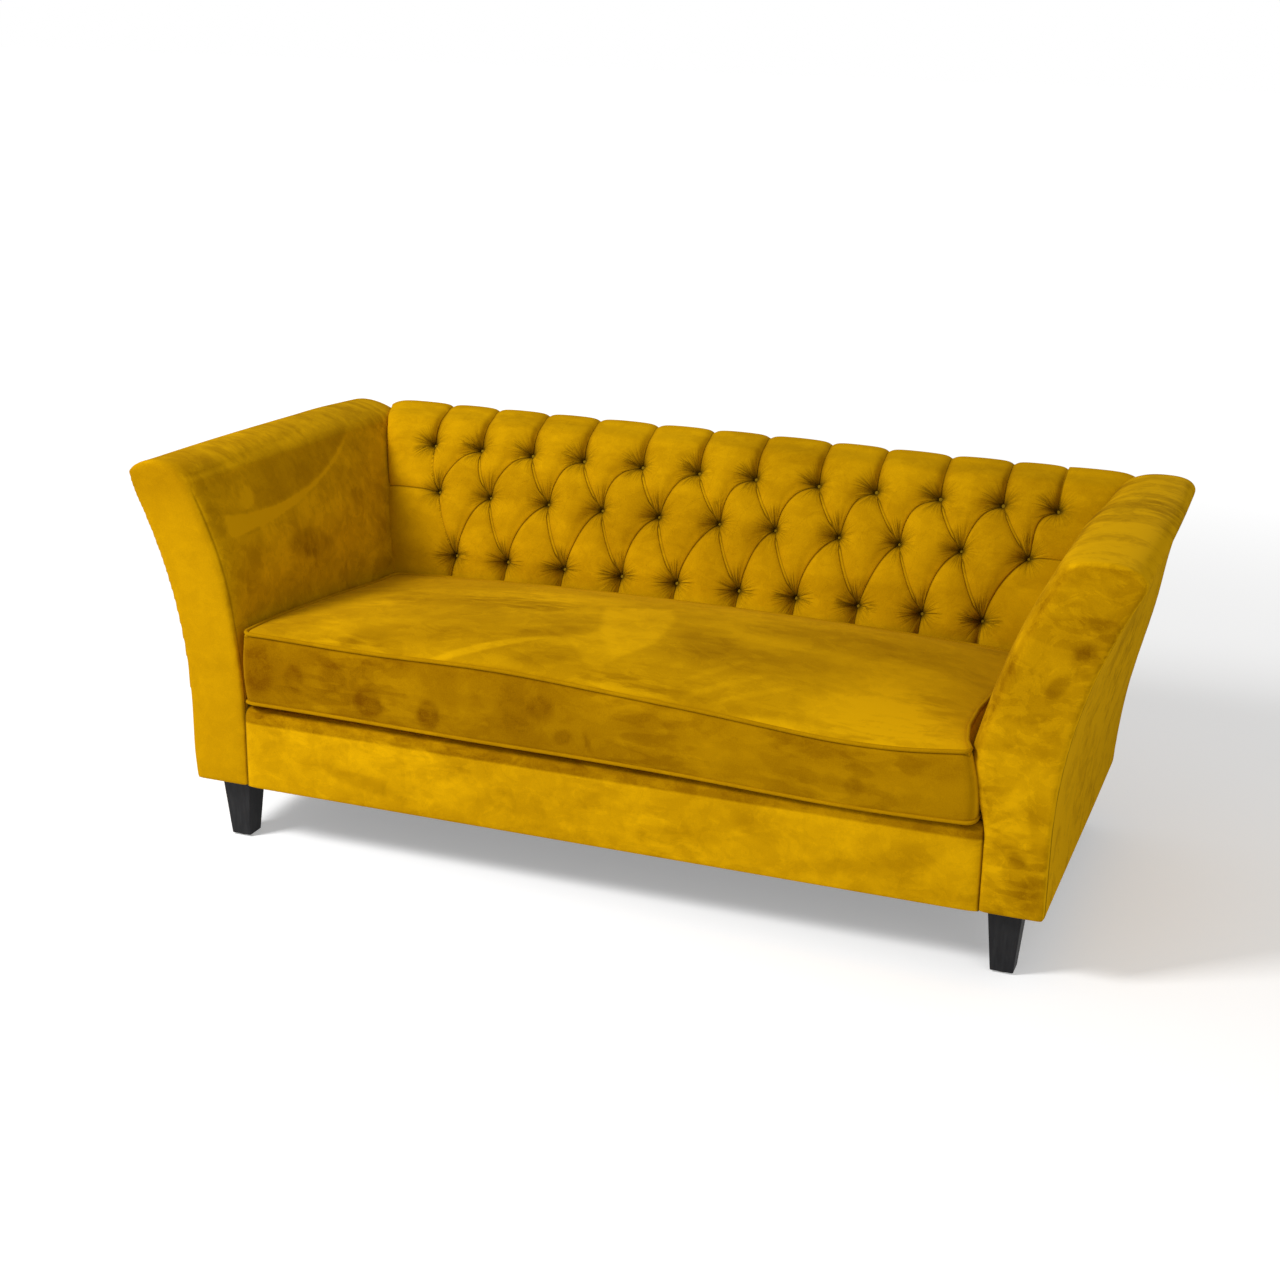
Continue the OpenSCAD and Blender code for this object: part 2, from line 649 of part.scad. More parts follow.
module pad_body() {
    rings = [for (i = [-field - margin:field + margin]) pad_ring(i)];
    n = len(rings[0]);
    m = len(rings);
    walls = [for (j = [0:m - 2], k = [0:n - 1])
        let (a = j * n + k, b = j * n + (k + 1) % n) each [[a, b, b + n], [a, b + n, a + n]]];
    left = [for (t = pad_end(n)) [t[2], t[1], t[0]]];
    right = [for (t = pad_end(n)) t + (m - 1) * n * [1, 1, 1]];
    polyhedron([for (r = rings) each r], concat(walls, left, right));
}

module back_pad() color(velvet) placed()
    difference() {
        pad_body();
        at_buttons() {
            translate([0, 0, -pocket_d]) cylinder(h = 2 * tuft_rise, r = button_r + seat_gap, $fn = 20);
            translate([0, 0, -$tie - web_t]) cylinder(h = $tie, r = tie_r + seat_gap, $fn = 8);
        }
    }

/* Each button is a domed cap on a tie that runs back through the padding. */
module back_buttons() color(velvet_dark) placed()
    at_buttons() {
        dome = (button_r * button_r + button_t * button_t / 4) / button_t;
        translate([0, 0, -$tie]) cylinder(h = $tie - pocket_d + seat_gap, r = tie_r);
        translate([0, 0, -pocket_d + seat_gap]) {
            cylinder(h = button_t / 2, r = button_r, $fn = 32);
            intersection() {
                translate([0, 0, button_t - dome]) sphere(r = dome, $fn = 64);
                cylinder(h = button_t, r = button_r, $fn = 32);
            }
        }
    }

module outside_back() color(velvet) placed()
    intersection() {
        back_slab(-2 * half, 2 * half, 0, outside_t, body_z, frame_top_z);
        front_slab(0, 2 * arm_d, between_arms(body_z, frame_top_z, 1.5));
    }

/* ---- legs and underside ---- */

module at_legs()
    for (sx = [-1, 1], y = leg_y) translate([sx * leg_x, y, 0]) children();

module tapered_leg()
    difference() {
        hull() {
            translate([0, 0, body_z - 1]) linear_extrude(1)
                polygon(rounded_box(-leg_top_w / 2, -leg_top_w / 2, leg_top_w / 2, leg_top_w / 2, leg_edge_r, 4));
            translate([0, 0, glide_t]) linear_extrude(1)
                polygon(rounded_box(-leg_foot_w / 2, -leg_foot_w / 2, leg_foot_w / 2, leg_foot_w / 2, leg_edge_r, 4));
        }
        translate([0, 0, body_z - bolt_in_leg - 1]) cylinder(h = bolt_in_leg + 2, r = bolt_r + bolt_clear);
    }

module leg(side, y) color(black_wood) placed() translate([side * leg_x, y, 0]) tapered_leg();

module front_left_leg() leg(-1, leg_y[0]);
module front_right_leg() leg(1, leg_y[0]);
module rear_left_leg() leg(-1, leg_y[1]);
module rear_right_leg() leg(1, leg_y[1]);

module leg_plates() color(steel) placed() at_legs()
    translate([0, 0, body_z]) difference() {
        translate([-plate_w / 2, -plate_w / 2, 0]) cube([plate_w, plate_w, plate_t]);
        translate([0, 0, -1]) cylinder(h = plate_t + 2, r = bolt_r + bolt_clear);
    }

module leg_bolts() color(steel) placed() at_legs()
    translate([0, 0, body_z - bolt_in_leg]) cylinder(h = bolt_in_leg + plate_t + tie_h, r = bolt_r);

module foot_glides() color(foam) placed() at_legs() cylinder(h = glide_t, r = glide_r);

module arm_bolts() color(steel) placed() both_sides()
    for (y = arm_bolt_y)
        translate([half - seat_gap - rail_t, y, arm_bolt_z]) rotate([0, 90, 0]) {
            cylinder(h = rail_t + frame_in + tie_h / 2, r = bolt_r);
            translate([0, 0, -head_t]) cylinder(h = head_t, r = head_r);
        }

module dust_cover() color(cambric) placed() {
    reach = half + arm_t - dust_in;
    difference() {
        span([-reach, dust_in, body_z - dust_t], [reach, arm_d - dust_in, body_z]);
        at_legs() translate([-leg_top_w / 2 - 1, -leg_top_w / 2 - 1, body_z - 2])
            cube([leg_top_w + 2, leg_top_w + 2, 4]);
    }
}

/* ---- cushion ---- */

/* How far the top edge has sunk at u (-1 left to 1 right) and v (-1 front to 1 rear). */
function sunk(u, v) =
    let (t = (v + 1) / 2, rear = t * t * (3 - 2 * t))
    (1 - rear) * front_droop * exp(-pow((u - 0.66) / 0.5, 2)) + rear * (rear_sag + end_sag * u * u);

/* The cushion's outline, inset by d, as fractions u and v of its half sizes. */
cushion_x_steps = 8;
cushion_y_steps = 3;
function cushion_plan(d) =
    let (x = cushion_half - d, y = (cushion_y1 - cushion_y0) / 2 - d,
         box = rounded_box(-x, -y, x, y, cushion_corner_r - d, 3),
         even = function (a, b, n) [for (i = [1:n - 1]) a + (b - a) * i / n])
    concat([for (i = [0:3]) each [box[4 * i], box[4 * i + 1], box[4 * i + 2], box[4 * i + 3],
        each even(box[4 * i + 3], box[(4 * i + 4) % 16], i % 2 == 0 ? cushion_x_steps : cushion_y_steps)]]);

/* Point of the cushion's top over plan point p scaled by f, for a form inset by d. */
function cushion_top(p, f, d) =
    let (w = (cushion_y1 - cushion_y0) / 2, u = p[0] * f / cushion_half, v = p[1] * f / w)
    [p[0] * f, (cushion_y0 + cushion_y1) / 2 + p[1] * f,
     cushion_z1 - d - sunk(u, v)
     + crown * min(1, 5 * (1 - f)) * pow(max(0, 1 - pow(abs(u), 3)) * max(0, 1 - pow(abs(v), 2.6)), 0.8)];

/* Upright boxing under a crowned top, inset by d, with a rebate along both edges for the piping. */
module cushion_form(d, rebate = 0) {
    outer = cushion_plan(d);
    inner = cushion_plan(d + rebate);
    n = len(outer);
    flat = function (plan, z) [for (p = plan) [p[0], (cushion_y0 + cushion_y1) / 2 + p[1], z]];
    rim = function (plan, drop) [for (p = plan) cushion_top(p, 1, d) - [0, 0, drop]];
    z0 = cushion_z0 + d;
    rings = concat(
        rebate == 0 ? [flat(outer, z0), rim(outer, 0)]
            : [flat(inner, z0), flat(inner, z0 + rebate), flat(outer, z0 + rebate),
               rim(outer, rebate), rim(inner, rebate), rim(inner, 0)],
        [for (f = [0.94, 0.8, 0.5]) [for (p = inner) cushion_top(p, f, d)]]);
    m = len(rings) * n;
    middles = [cushion_top([0, 0], 0, d), [0, (cushion_y0 + cushion_y1) / 2, z0]];
    polyhedron(concat([for (r = rings) each r], middles), concat(
        [for (k = [0:n - 1]) [k, (k + 1) % n, m + 1]],
        [for (j = [0:len(rings) - 2], k = [0:n - 1])
            let (a = j * n + k, b = j * n + (k + 1) % n) each [[a, a + n, b + n], [a, b + n, b]]],
        [for (k = [0:n - 1]) [m - n + k, m, m - n + (k + 1) % n]]));
}

/* A cord of radius r along the sunk top edge. */
module top_cord(r) {
    plan = cushion_plan(pipe_in);
    n = len(plan);
    path = [for (p = plan) cushion_top(p, 1, pipe_in)];
    ring = [for (i = [0:n - 1])
        let (t = path[(i + 1) % n] - path[(i + n - 1) % n], u = t / norm(t),
             across = cross([0, 0, 1], u) / norm(cross([0, 0, 1], u)), up = cross(u, across))
        each [for (k = [0:5]) path[i] + r * (cos(60 * k) * across + sin(60 * k) * up)]];
    polyhedron(ring, [for (i = [0:n - 1], k = [0:5])
        let (a = i * 6 + k, b = i * 6 + (k + 1) % 6, c = (i + 1) % n * 6 + k, e = (i + 1) % n * 6 + (k + 1) % 6)
        each [[a, e, b], [a, c, e]]]);
}

/* A level cord of radius r around the cushion's outline at height z. */
module piping_ring(z, r) {
    x = cushion_half - pipe_in;
    y0 = cushion_y0 + pipe_in;
    y1 = cushion_y1 - pipe_in;
    c = cushion_corner_r - pipe_in;
    translate([0, 0, z]) {
        for (y = [y0, y1])
            translate([-x + c, y, 0]) rotate([0, 90, 0]) cylinder(h = 2 * (x - c), r = r, $fn = 24);
        for (s = [-x, x])
            translate([s, y0 + c, 0]) rotate([-90, 0, 0]) cylinder(h = y1 - y0 - 2 * c, r = r, $fn = 24);
        for (corner = [[x - c, y1 - c, 0], [-x + c, y1 - c, 90], [-x + c, y0 + c, 180], [x - c, y0 + c, 270]])
            translate([corner[0], corner[1], 0]) rotate([0, 0, corner[2]])
                rotate_extrude(angle = 90, $fn = 48) translate([c, 0]) circle(r = r, $fn = 24);
    }
}

module cushion_cover() color(velvet) placed()
    difference() {
        cushion_form(0, pipe_r + pipe_in + seat_gap);
        cushion_form(cover_t);
        span([-zip_l / 2, cushion_y1 - 2 * cover_t, chain_z - neck_w / 2],
             [zip_l / 2, cushion_y1 + cover_t, chain_z + neck_w / 2]);
    }

module cushion_core() color(foam) placed() cushion_form(cover_t + seat_gap);
module top_piping() color(velvet_dark) placed() top_cord(pipe_r);
module bottom_piping() color(velvet_dark) placed() piping_ring(cushion_z0 + pipe_in, pipe_r);

/* The closed teeth stand off the tape on a neck, so that the slider can hook over them. */
module zip_chain() color(cambric) placed()
    side_slab(-zip_l / 2, zip_l / 2, [
        [chain_y - tape_t, chain_z - tape_w / 2], [chain_y, chain_z - tape_w / 2],
        [chain_y, chain_z - neck_w / 2], [chain_y + neck_t, chain_z - neck_w / 2],
        [chain_y + neck_t, chain_z - chain_w / 2], [chain_y + neck_t + chain_t, chain_z - chain_w / 2],
        [chain_y + neck_t + chain_t, chain_z + chain_w / 2], [chain_y + neck_t, chain_z + chain_w / 2],
        [chain_y + neck_t, chain_z + neck_w / 2], [chain_y, chain_z + neck_w / 2],
        [chain_y, chain_z + tape_w / 2], [chain_y - tape_t, chain_z + tape_w / 2]]);

slider_x = zip_l / 2 - 2 * slider_l;

module zip_slider() color(steel) placed() {
    lip = chain_y + slide_gap;
    inside = chain_y + neck_t - slide_gap;
    outside = chain_y + neck_t + chain_t + slide_gap;
    wide = chain_w / 2 + slide_gap;
    narrow = neck_w / 2 + slide_gap;
    side_slab(slider_x, slider_x + slider_l, [
        [lip, chain_z - wide - slider_wall], [outside + slider_wall, chain_z - wide - slider_wall],
        [outside + slider_wall, chain_z + wide + slider_wall], [lip, chain_z + wide + slider_wall],
        [lip, chain_z + narrow], [inside, chain_z + narrow], [inside, chain_z + wide],
        [outside, chain_z + wide], [outside, chain_z - wide], [inside, chain_z - wide],
        [inside, chain_z - narrow], [lip, chain_z - narrow]]);
}

front_seat_rail();
rear_seat_rail();
left_seat_rail();
right_seat_rail();
seat_braces();
corner_blocks();
left_arm_frame();
right_arm_frame();
left_arm_boards();
right_arm_boards();
back_frame();
back_webbing();
seat_springs();
spring_clips();
cross_wires();
seat_deck();
front_border();
left_arm_cover();
right_arm_cover();
left_arm_front();
right_arm_front();
back_pad();
back_buttons();
outside_back();
dust_cover();
front_left_leg();
front_right_leg();
rear_left_leg();
rear_right_leg();
leg_plates();
leg_bolts();
foot_glides();
arm_bolts();
cushion_cover();
cushion_core();
top_piping();
bottom_piping();
zip_chain();
zip_slider();
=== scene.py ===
"""The covers, cushion, legs and trim of a low, deep-buttoned sofa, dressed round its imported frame."""

import logging
import math
from dataclasses import dataclass, field
from enum import Enum
from typing import Callable

import bmesh
import bpy
import numpy as np
from mathutils import Matrix, Vector


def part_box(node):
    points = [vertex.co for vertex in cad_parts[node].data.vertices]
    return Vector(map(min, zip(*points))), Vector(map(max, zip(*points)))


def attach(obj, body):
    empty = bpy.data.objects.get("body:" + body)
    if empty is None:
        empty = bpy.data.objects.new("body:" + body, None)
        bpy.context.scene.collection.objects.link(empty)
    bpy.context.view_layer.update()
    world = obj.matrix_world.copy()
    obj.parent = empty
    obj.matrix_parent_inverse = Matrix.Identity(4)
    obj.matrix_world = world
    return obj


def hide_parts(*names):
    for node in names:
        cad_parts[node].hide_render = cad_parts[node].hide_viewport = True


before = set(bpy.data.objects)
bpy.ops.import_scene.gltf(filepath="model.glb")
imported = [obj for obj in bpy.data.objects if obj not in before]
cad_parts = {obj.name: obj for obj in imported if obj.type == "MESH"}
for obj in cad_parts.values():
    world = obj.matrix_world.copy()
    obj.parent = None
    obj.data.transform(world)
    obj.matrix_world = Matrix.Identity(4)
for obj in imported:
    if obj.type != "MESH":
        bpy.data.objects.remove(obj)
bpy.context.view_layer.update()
log = logging.getLogger("sofa")

Array = np.ndarray
Triple = tuple[Array, Array, Array]
Place = Callable[[Array, Array], Triple]
Fields = Callable[[Array, Array], dict[str, Array]]
Vec = tuple[float, float, float]
Colour = Vec
Object = bpy.types.Object
Material = bpy.types.Material
Socket = bpy.types.NodeSocket

WHITE = (1.0, 1.0, 1.0, 1.0)


class Body(Enum):
    """The rigid bodies that the pieces made here ride on."""

    SOFA = "sofa"
    CUSHION = "seat_cushion"


class Slot(Enum):
    """The record's material slots named for the pieces made here."""

    VELVET = "velvet"
    TRIM = "velvet_trim"
    CAMBRIC = "cambric"
    STEEL = "steel"


# ---- measures ----


def decay(distance: Array, reach: float | Array) -> Array:
    """Falls from 1 at no distance toward 0 past the reach."""
    return np.exp(-distance / reach)


def soft(distance: Array, reach: float | Array) -> Array:
    """Rises from 0 on a seam to 1 well away from it."""
    return 1.0 - decay(np.maximum(distance, 0.0), reach)


def bell(value: Array, middle: float | Array, width: float | Array) -> Array:
    """1 at the middle, falling smoothly to both sides of it."""
    return np.exp(-(((value - middle) / width) ** 2))


def ease(value: Array, low: float | Array, high: float | Array) -> Array:
    """Smooth step from 0 at low to 1 at high."""
    t = np.clip((value - low) / (high - low), 0.0, 1.0)
    return t * t * (3.0 - 2.0 * t)


def evenly(path: Array, count: int) -> Array:
    """Places points along a flat path at even steps, from its start to its end."""
    length = np.r_[0, np.cumsum(np.hypot(*np.diff(path, axis=0).T))]
    even = np.linspace(0, length[-1], count)
    return np.column_stack([np.interp(even, length, path[:, 0]), np.interp(even, length, path[:, 1])])


def around(ring: Array, u: Array) -> Array:
    """The two measures of a closed outline's points at u, which runs from 0 to 1 round it."""
    return ring[np.rint(u * len(ring)).astype(int) % len(ring)].T


def both_faces(u: Array) -> tuple[Array, Array]:
    """Wraps u round a panel; gives whether it is on the first face, and the place across from -1 to 1."""
    turn = u * 2
    first = turn <= 1
    return first, np.where(first, turn, 2 - turn) * 2 - 1


def from_edge(across: Array, half: float | Array, along: Array, low: float, high: float) -> Array:
    """Distance from the nearest edge of a panel: half to each side, and from low to high."""
    return np.minimum(half - np.abs(across), np.minimum(along - low, high - along))


# ---- shared form ----


@dataclass(frozen=True)
class Form:
    """Sizes that the covered pieces share, in metres; depth counts back from the arms' front.

    half is half the width between the arms at the seat, and body_z the height of the underside.
    arm_t, arm_h and arm_d are an arm's thickness, height and depth, arm_crown the rise of its top,
    and arm_flare how far its side has moved out there, from flare_z up by flare_power. The inner
    padding swells between swell_from and swell_to.
    """

    half: float = 0.730
    body_z: float = 0.127
    arm_t: float = 0.114
    arm_h: float = 0.780
    arm_crown: float = 0.038
    arm_flare: float = 0.121
    flare_z: float = 0.267
    flare_power: float = 2.1
    arm_d: float = 0.812
    back_lean: float = math.radians(7.0)
    swell_from: float = 0.449
    swell_to: float = 0.609
    front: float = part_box("left_arm_front")[0].y

    def flare(self, z: Array) -> Array:
        """How far an arm's side has moved outward at height z."""
        top = self.arm_h - self.arm_crown
        rise = np.clip(np.asarray(z, float) - self.flare_z, 0.0, top - self.flare_z)
        return self.arm_flare * (rise / (top - self.flare_z)) ** self.flare_power

    def swollen(self, z: Array, swell: float) -> Array:
        """The flare at height z, less the inner padding's swell above the cushion."""
        return self.flare(z) - swell * ease(np.asarray(z, float), self.swell_from, self.swell_to)

    def rear(self, z: Array) -> Array:
        """Depth of the leaning outside back at height z."""
        return self.arm_d + (np.asarray(z, float) - self.body_z) * math.tan(self.back_lean)


FORM = Form()


# ---- mesh helpers ----


def add_field(piece: Object, name: str, values: Array) -> None:
    """Stores one number, or one triple, per point for the piece's finish to read."""
    kind, key = ("FLOAT", "value") if values.ndim == 1 else ("FLOAT_VECTOR", "vector")
    layer = piece.data.attributes.new(name, kind, "POINT")
    layer.data.foreach_set(key, values.astype(np.float32).ravel())


def line_field(off: Array, strength: float | Array) -> Array:
    """The field of a seam or crease: the distance from it, and its strength."""
    return np.column_stack([off, strength + np.zeros_like(off), np.zeros_like(off)])


def triples(items: bpy.types.bpy_prop_collection, key: str) -> Array:
    """Reads a triple from each item of a mesh's list, one row each."""
    flat = np.empty(len(items) * 3, np.float32)
    items.foreach_get(key, flat)
    return flat.reshape(-1, 3).astype(float)


def points_of(piece: Object) -> Array:
    """The places of a piece's points, one row each."""
    return triples(piece.data.vertices, "co")


def normals_of(piece: Object) -> Array:
    """The outward directions at a piece's points, one row each."""
    return triples(piece.data.vertex_normals, "vector")


def set_points(piece: Object, where: Array) -> None:
    """Puts a piece's points at new places, one row each."""
    piece.data.vertices.foreach_set("co", where.astype(np.float32).ravel())
    piece.data.update()


def link(name: str, data: bpy.types.ID) -> Object:
    """Makes an object of the given data and puts it in the scene."""
    made = bpy.data.objects.new(name, data)
    bpy.context.scene.collection.objects.link(made)
    return made


def mesh_piece(name: str, bm: bmesh.types.BMesh, smooth: bool = True) -> Object:
    """Turns a bmesh into an object in the scene, and frees it."""
    mesh = bpy.data.meshes.new(name)
    bm.to_mesh(mesh)
    bm.free()
    if smooth:
        mesh.shade_smooth()
    return link(name, mesh)


def grid_piece(name: str, cols: int, rows: int, place: Place, fields: Fields | None = None) -> Object:
    """Makes a closed piece from a flat grid that is bent into its form.

    Args:
        name: name of the new object.
        cols: number of faces along the grid's first direction.
        rows: number of faces along its second direction.
        place: gives x, y and z from the grid's two directions, each from 0 to 1.
        fields: gives the finish's fields by name, from the same two directions.

    Returns:
        The new object, with coincident edges merged, open ends filled and its faces outwards.
    """
    bm = bmesh.new()
    bmesh.ops.create_grid(bm, x_segments=cols, y_segments=rows, size=1.0)
    piece = mesh_piece(name, bm, smooth=False)
    flat = points_of(piece)
    u, v = (flat[:, 0] + 1.0) / 2.0, (flat[:, 1] + 1.0) / 2.0
    set_points(piece, np.column_stack(place(u, v)))
    for key, values in (fields(u, v) if fields else {}).items():
        add_field(piece, key, values)
    bm = bmesh.new()
    bm.from_mesh(piece.data)
    bmesh.ops.remove_doubles(bm, verts=bm.verts, dist=1e-5)
    bmesh.ops.holes_fill(bm, edges=[e for e in bm.edges if e.is_boundary], sides=0)
    bmesh.ops.recalc_face_normals(bm, faces=bm.faces)
    bm.to_mesh(piece.data)
    bm.free()
    piece.data.shade_smooth()
    return piece


def evaluated(piece: Object) -> bpy.types.Mesh:
    """A new, smooth mesh of what a piece's modifiers or curve settings give."""
    bpy.context.view_layer.update()
    graph = bpy.context.evaluated_depsgraph_get()
    mesh = bpy.data.meshes.new_from_object(piece.evaluated_get(graph))
    mesh.shade_smooth()
    return mesh


def soften(piece: Object, voxel: float, rounds: int) -> None:
    """Turns a closed form into an even net of faces and rounds its edges.

    Args:
        piece: the closed form.
        voxel: size of the new faces, in metres.
        rounds: number of smoothing passes.
    """
    net = piece.modifiers.new("net", "REMESH")
    net.mode = "VOXEL"
    net.voxel_size = voxel
    smooth = piece.modifiers.new("smooth", "SMOOTH")
    smooth.factor = 0.5
    smooth.iterations = rounds
    mesh = evaluated(piece)
    piece.modifiers.clear()
    old, piece.data = piece.data, mesh
    bpy.data.meshes.remove(old)


def tube(name: str, path: Array, radius: float) -> Object:
    """A closed cord of the given radius along a closed path."""
    curve = bpy.data.curves.new(name, "CURVE")
    curve.dimensions = "3D"
    curve.bevel_depth = radius
    curve.bevel_resolution = 2
    spline = curve.splines.new("POLY")
    spline.points.add(len(path) - 1)
    spline.points.foreach_set("co", np.column_stack([path, np.ones(len(path))]).ravel())
    spline.use_cyclic_u = True
    made = link(name, curve)
    mesh = evaluated(made)
    bpy.data.objects.remove(made)
    bpy.data.curves.remove(curve)
    return link(name, mesh)


# ---- finishes ----


class Tree:
    """A short way to write shader nodes."""

    def __init__(self, tree: bpy.types.NodeTree) -> None:
        """Keeps the node tree that is being written."""
        self.tree = tree

    def feed(self, node: bpy.types.Node, sockets: dict) -> None:
        """Feeds a node's inputs, by name or index, with values or output sockets."""
        for key, value in sockets.items():
            if isinstance(value, Socket):
                self.tree.links.new(value, node.inputs[key])
            else:
                node.inputs[key].default_value = value

    def node(self, kind: str, sockets: dict | None = None, **props: object) -> bpy.types.Node:
        """Adds a node, sets its properties and feeds its sockets.

        Args:
            kind: the node's type without its ShaderNode prefix.
            sockets: values or output sockets by input name or index.
            props: the node's own properties.

        Returns:
            The new node.
        """
        made = self.tree.nodes.new(kind if kind.startswith("Node") else f"ShaderNode{kind}")
        for key, value in props.items():
            setattr(made, key, value)
        self.feed(made, sockets or {})
        return made

    def math(self, operation: str, a: object, b: object = 0.0, c: object = 0.0) -> Socket:
        """One arithmetic step on two values, or on three for MULTIPLY_ADD."""
        return self.node("Math", {0: a, 1: b, 2: c}, operation=operation).outputs[0]

    def centred(self, value: object) -> Socket:
        """A value from 0 to 1, moved to -0.5 to 0.5."""
        return self.math("SUBTRACT", value, 0.5)

    def noise(self, vector: object, scale: float, detail: float = 2.0, distortion: float = 0.0,
              rough: float = 0.5) -> Socket:
        """Smooth noise at the given number of blobs per metre, from 0 to 1."""
        return self.node("TexNoise", {"Vector": vector, "Scale": scale, "Detail": detail,
                                      "Distortion": distortion, "Roughness": rough}).outputs["Fac"]

    def ramp(self, value: object, low: float, high: float) -> Socket:
        """Smooth step of a value from 0 at low to 1 at high."""
        return self.node("MapRange", {"Value": value, "From Min": low, "From Max": high},
                         interpolation_type="SMOOTHSTEP").outputs[0]

    def mix(self, factor: object, a: object, b: object) -> Socket:
        """Mix of two colours."""
        a, b = (value if isinstance(value, Socket) else (*value, 1.0) for value in (a, b))
        return self.node("Mix", {"Factor": factor, 6: a, 7: b}, data_type="RGBA").outputs[2]

    def place(self) -> Socket:
        """The place on the piece, in metres."""
        return self.node("TexCoord").outputs["Object"]

    def field(self, name: str) -> Socket:
        """A number that the mesh holds for each point."""
        return self.node("Attribute", attribute_name=name).outputs["Fac"]

    def triple(self, name: str) -> bpy.types.NodeOutputs:
        """Three numbers that the mesh holds for each point."""
        held = self.node("Attribute", attribute_name=name).outputs["Vector"]
        return self.node("SeparateXYZ", {0: held}).outputs

    def seen(self) -> Socket:
        """1 where the camera sees a surface, directly, by reflection or through glass."""
        rays = self.node("LightPath").outputs
        seen = self.math("MAXIMUM", rays["Is Camera Ray"], rays["Is Glossy Ray"])
        return self.math("MAXIMUM", seen, rays["Is Transmission Ray"])


def nap_group() -> bpy.types.NodeTree:
    """Brushed pile: broad patches, long soft bands, clouds, finger strokes and fine grain."""
    made = bpy.data.node_groups.new("nap", "ShaderNodeTree")
    made.interface.new_socket("Vector", in_out="INPUT", socket_type="NodeSocketVector")
    for key, value in (("Scale", 1.0), ("Strokes", 0.5)):
        made.interface.new_socket(key, in_out="INPUT", socket_type="NodeSocketFloat").default_value = value
    for key in ("Lay", "Fleck", "Grain"):
        made.interface.new_socket(key, in_out="OUTPUT", socket_type="NodeSocketFloat")
    tree = Tree(made)
    into, out = tree.node("NodeGroupInput").outputs, tree.node("NodeGroupOutput")
    where = tree.node("VectorMath", {0: into["Vector"], "Scale": into["Scale"]}, operation="SCALE").outputs[0]

    def turned(turn: Vec, stretch: Vec) -> Socket:
        """The place, turned and stretched."""
        return tree.node("Mapping", {"Vector": where, "Rotation": turn, "Scale": stretch}).outputs[0]

    def drawn(turn: float, stretch: Vec, low: float, high: float) -> Socket:
        """Soft streaks drawn along one direction, from -0.5 to 0.5."""
        return tree.centred(tree.ramp(tree.noise(turned((0.3, 0.2, turn), stretch), 1.0, 1.5), low, high))

    slanted = turned((0.2, 0.3, 0.6), (1.0, 1.7, 1.4))
    broad = tree.ramp(tree.noise(where, 1.9, 1.0), 0.32, 0.68)
    cloud = tree.ramp(tree.noise(where, 8.0, 4.0, 0.45, 0.58), 0.455, 0.545)
    fleck = tree.ramp(tree.noise(where, 21.0, 4.0, 0.7, 0.60), 0.49, 0.53)
    smear = tree.ramp(tree.noise(slanted, 12.0, 5.0, 1.1, 0.62), 0.520, 0.534)
    mottle = tree.centred(tree.noise(where, 34.0, 4.0, 0.0, 0.6))
    there = tree.ramp(tree.noise(where, 3.4, 1.0), 0.50, 0.62)
    bands = tree.math("ADD", drawn(0.45, (2.4, 9.0, 9.0), 0.42, 0.58),
                      drawn(-0.8, (3.0, 12.0, 12.0), 0.45, 0.55))
    fingers = tree.math("ADD", drawn(0.7, (13.0, 52.0, 40.0), 0.48, 0.56),
                        drawn(-0.5, (16.0, 60.0, 44.0), 0.48, 0.56))
    fingers = tree.math("MULTIPLY", tree.math("MULTIPLY", fingers, there), into["Strokes"])
    level = tree.math("MULTIPLY_ADD", broad, 0.34, 0.20)
    for part, weight in ((cloud, 0.13), (fleck, 0.09), (smear, 0.12), (mottle, 0.24), (bands, 0.15),
                         (fingers, 0.28)):
        level = tree.math("ADD", level, tree.math("MULTIPLY", part, weight))
    tree.feed(out, {"Lay": level, "Fleck": fleck, "Grain": tree.noise(into["Vector"], 420.0)})
    return made


def principled(name: str) -> tuple[Material, Tree, bpy.types.Node]:
    """Starts a material; gives it, its tree writer and its shader."""
    made = bpy.data.materials.new(name)
    made.use_nodes = True
    return made, Tree(made.node_tree), made.node_tree.nodes["Principled BSDF"]


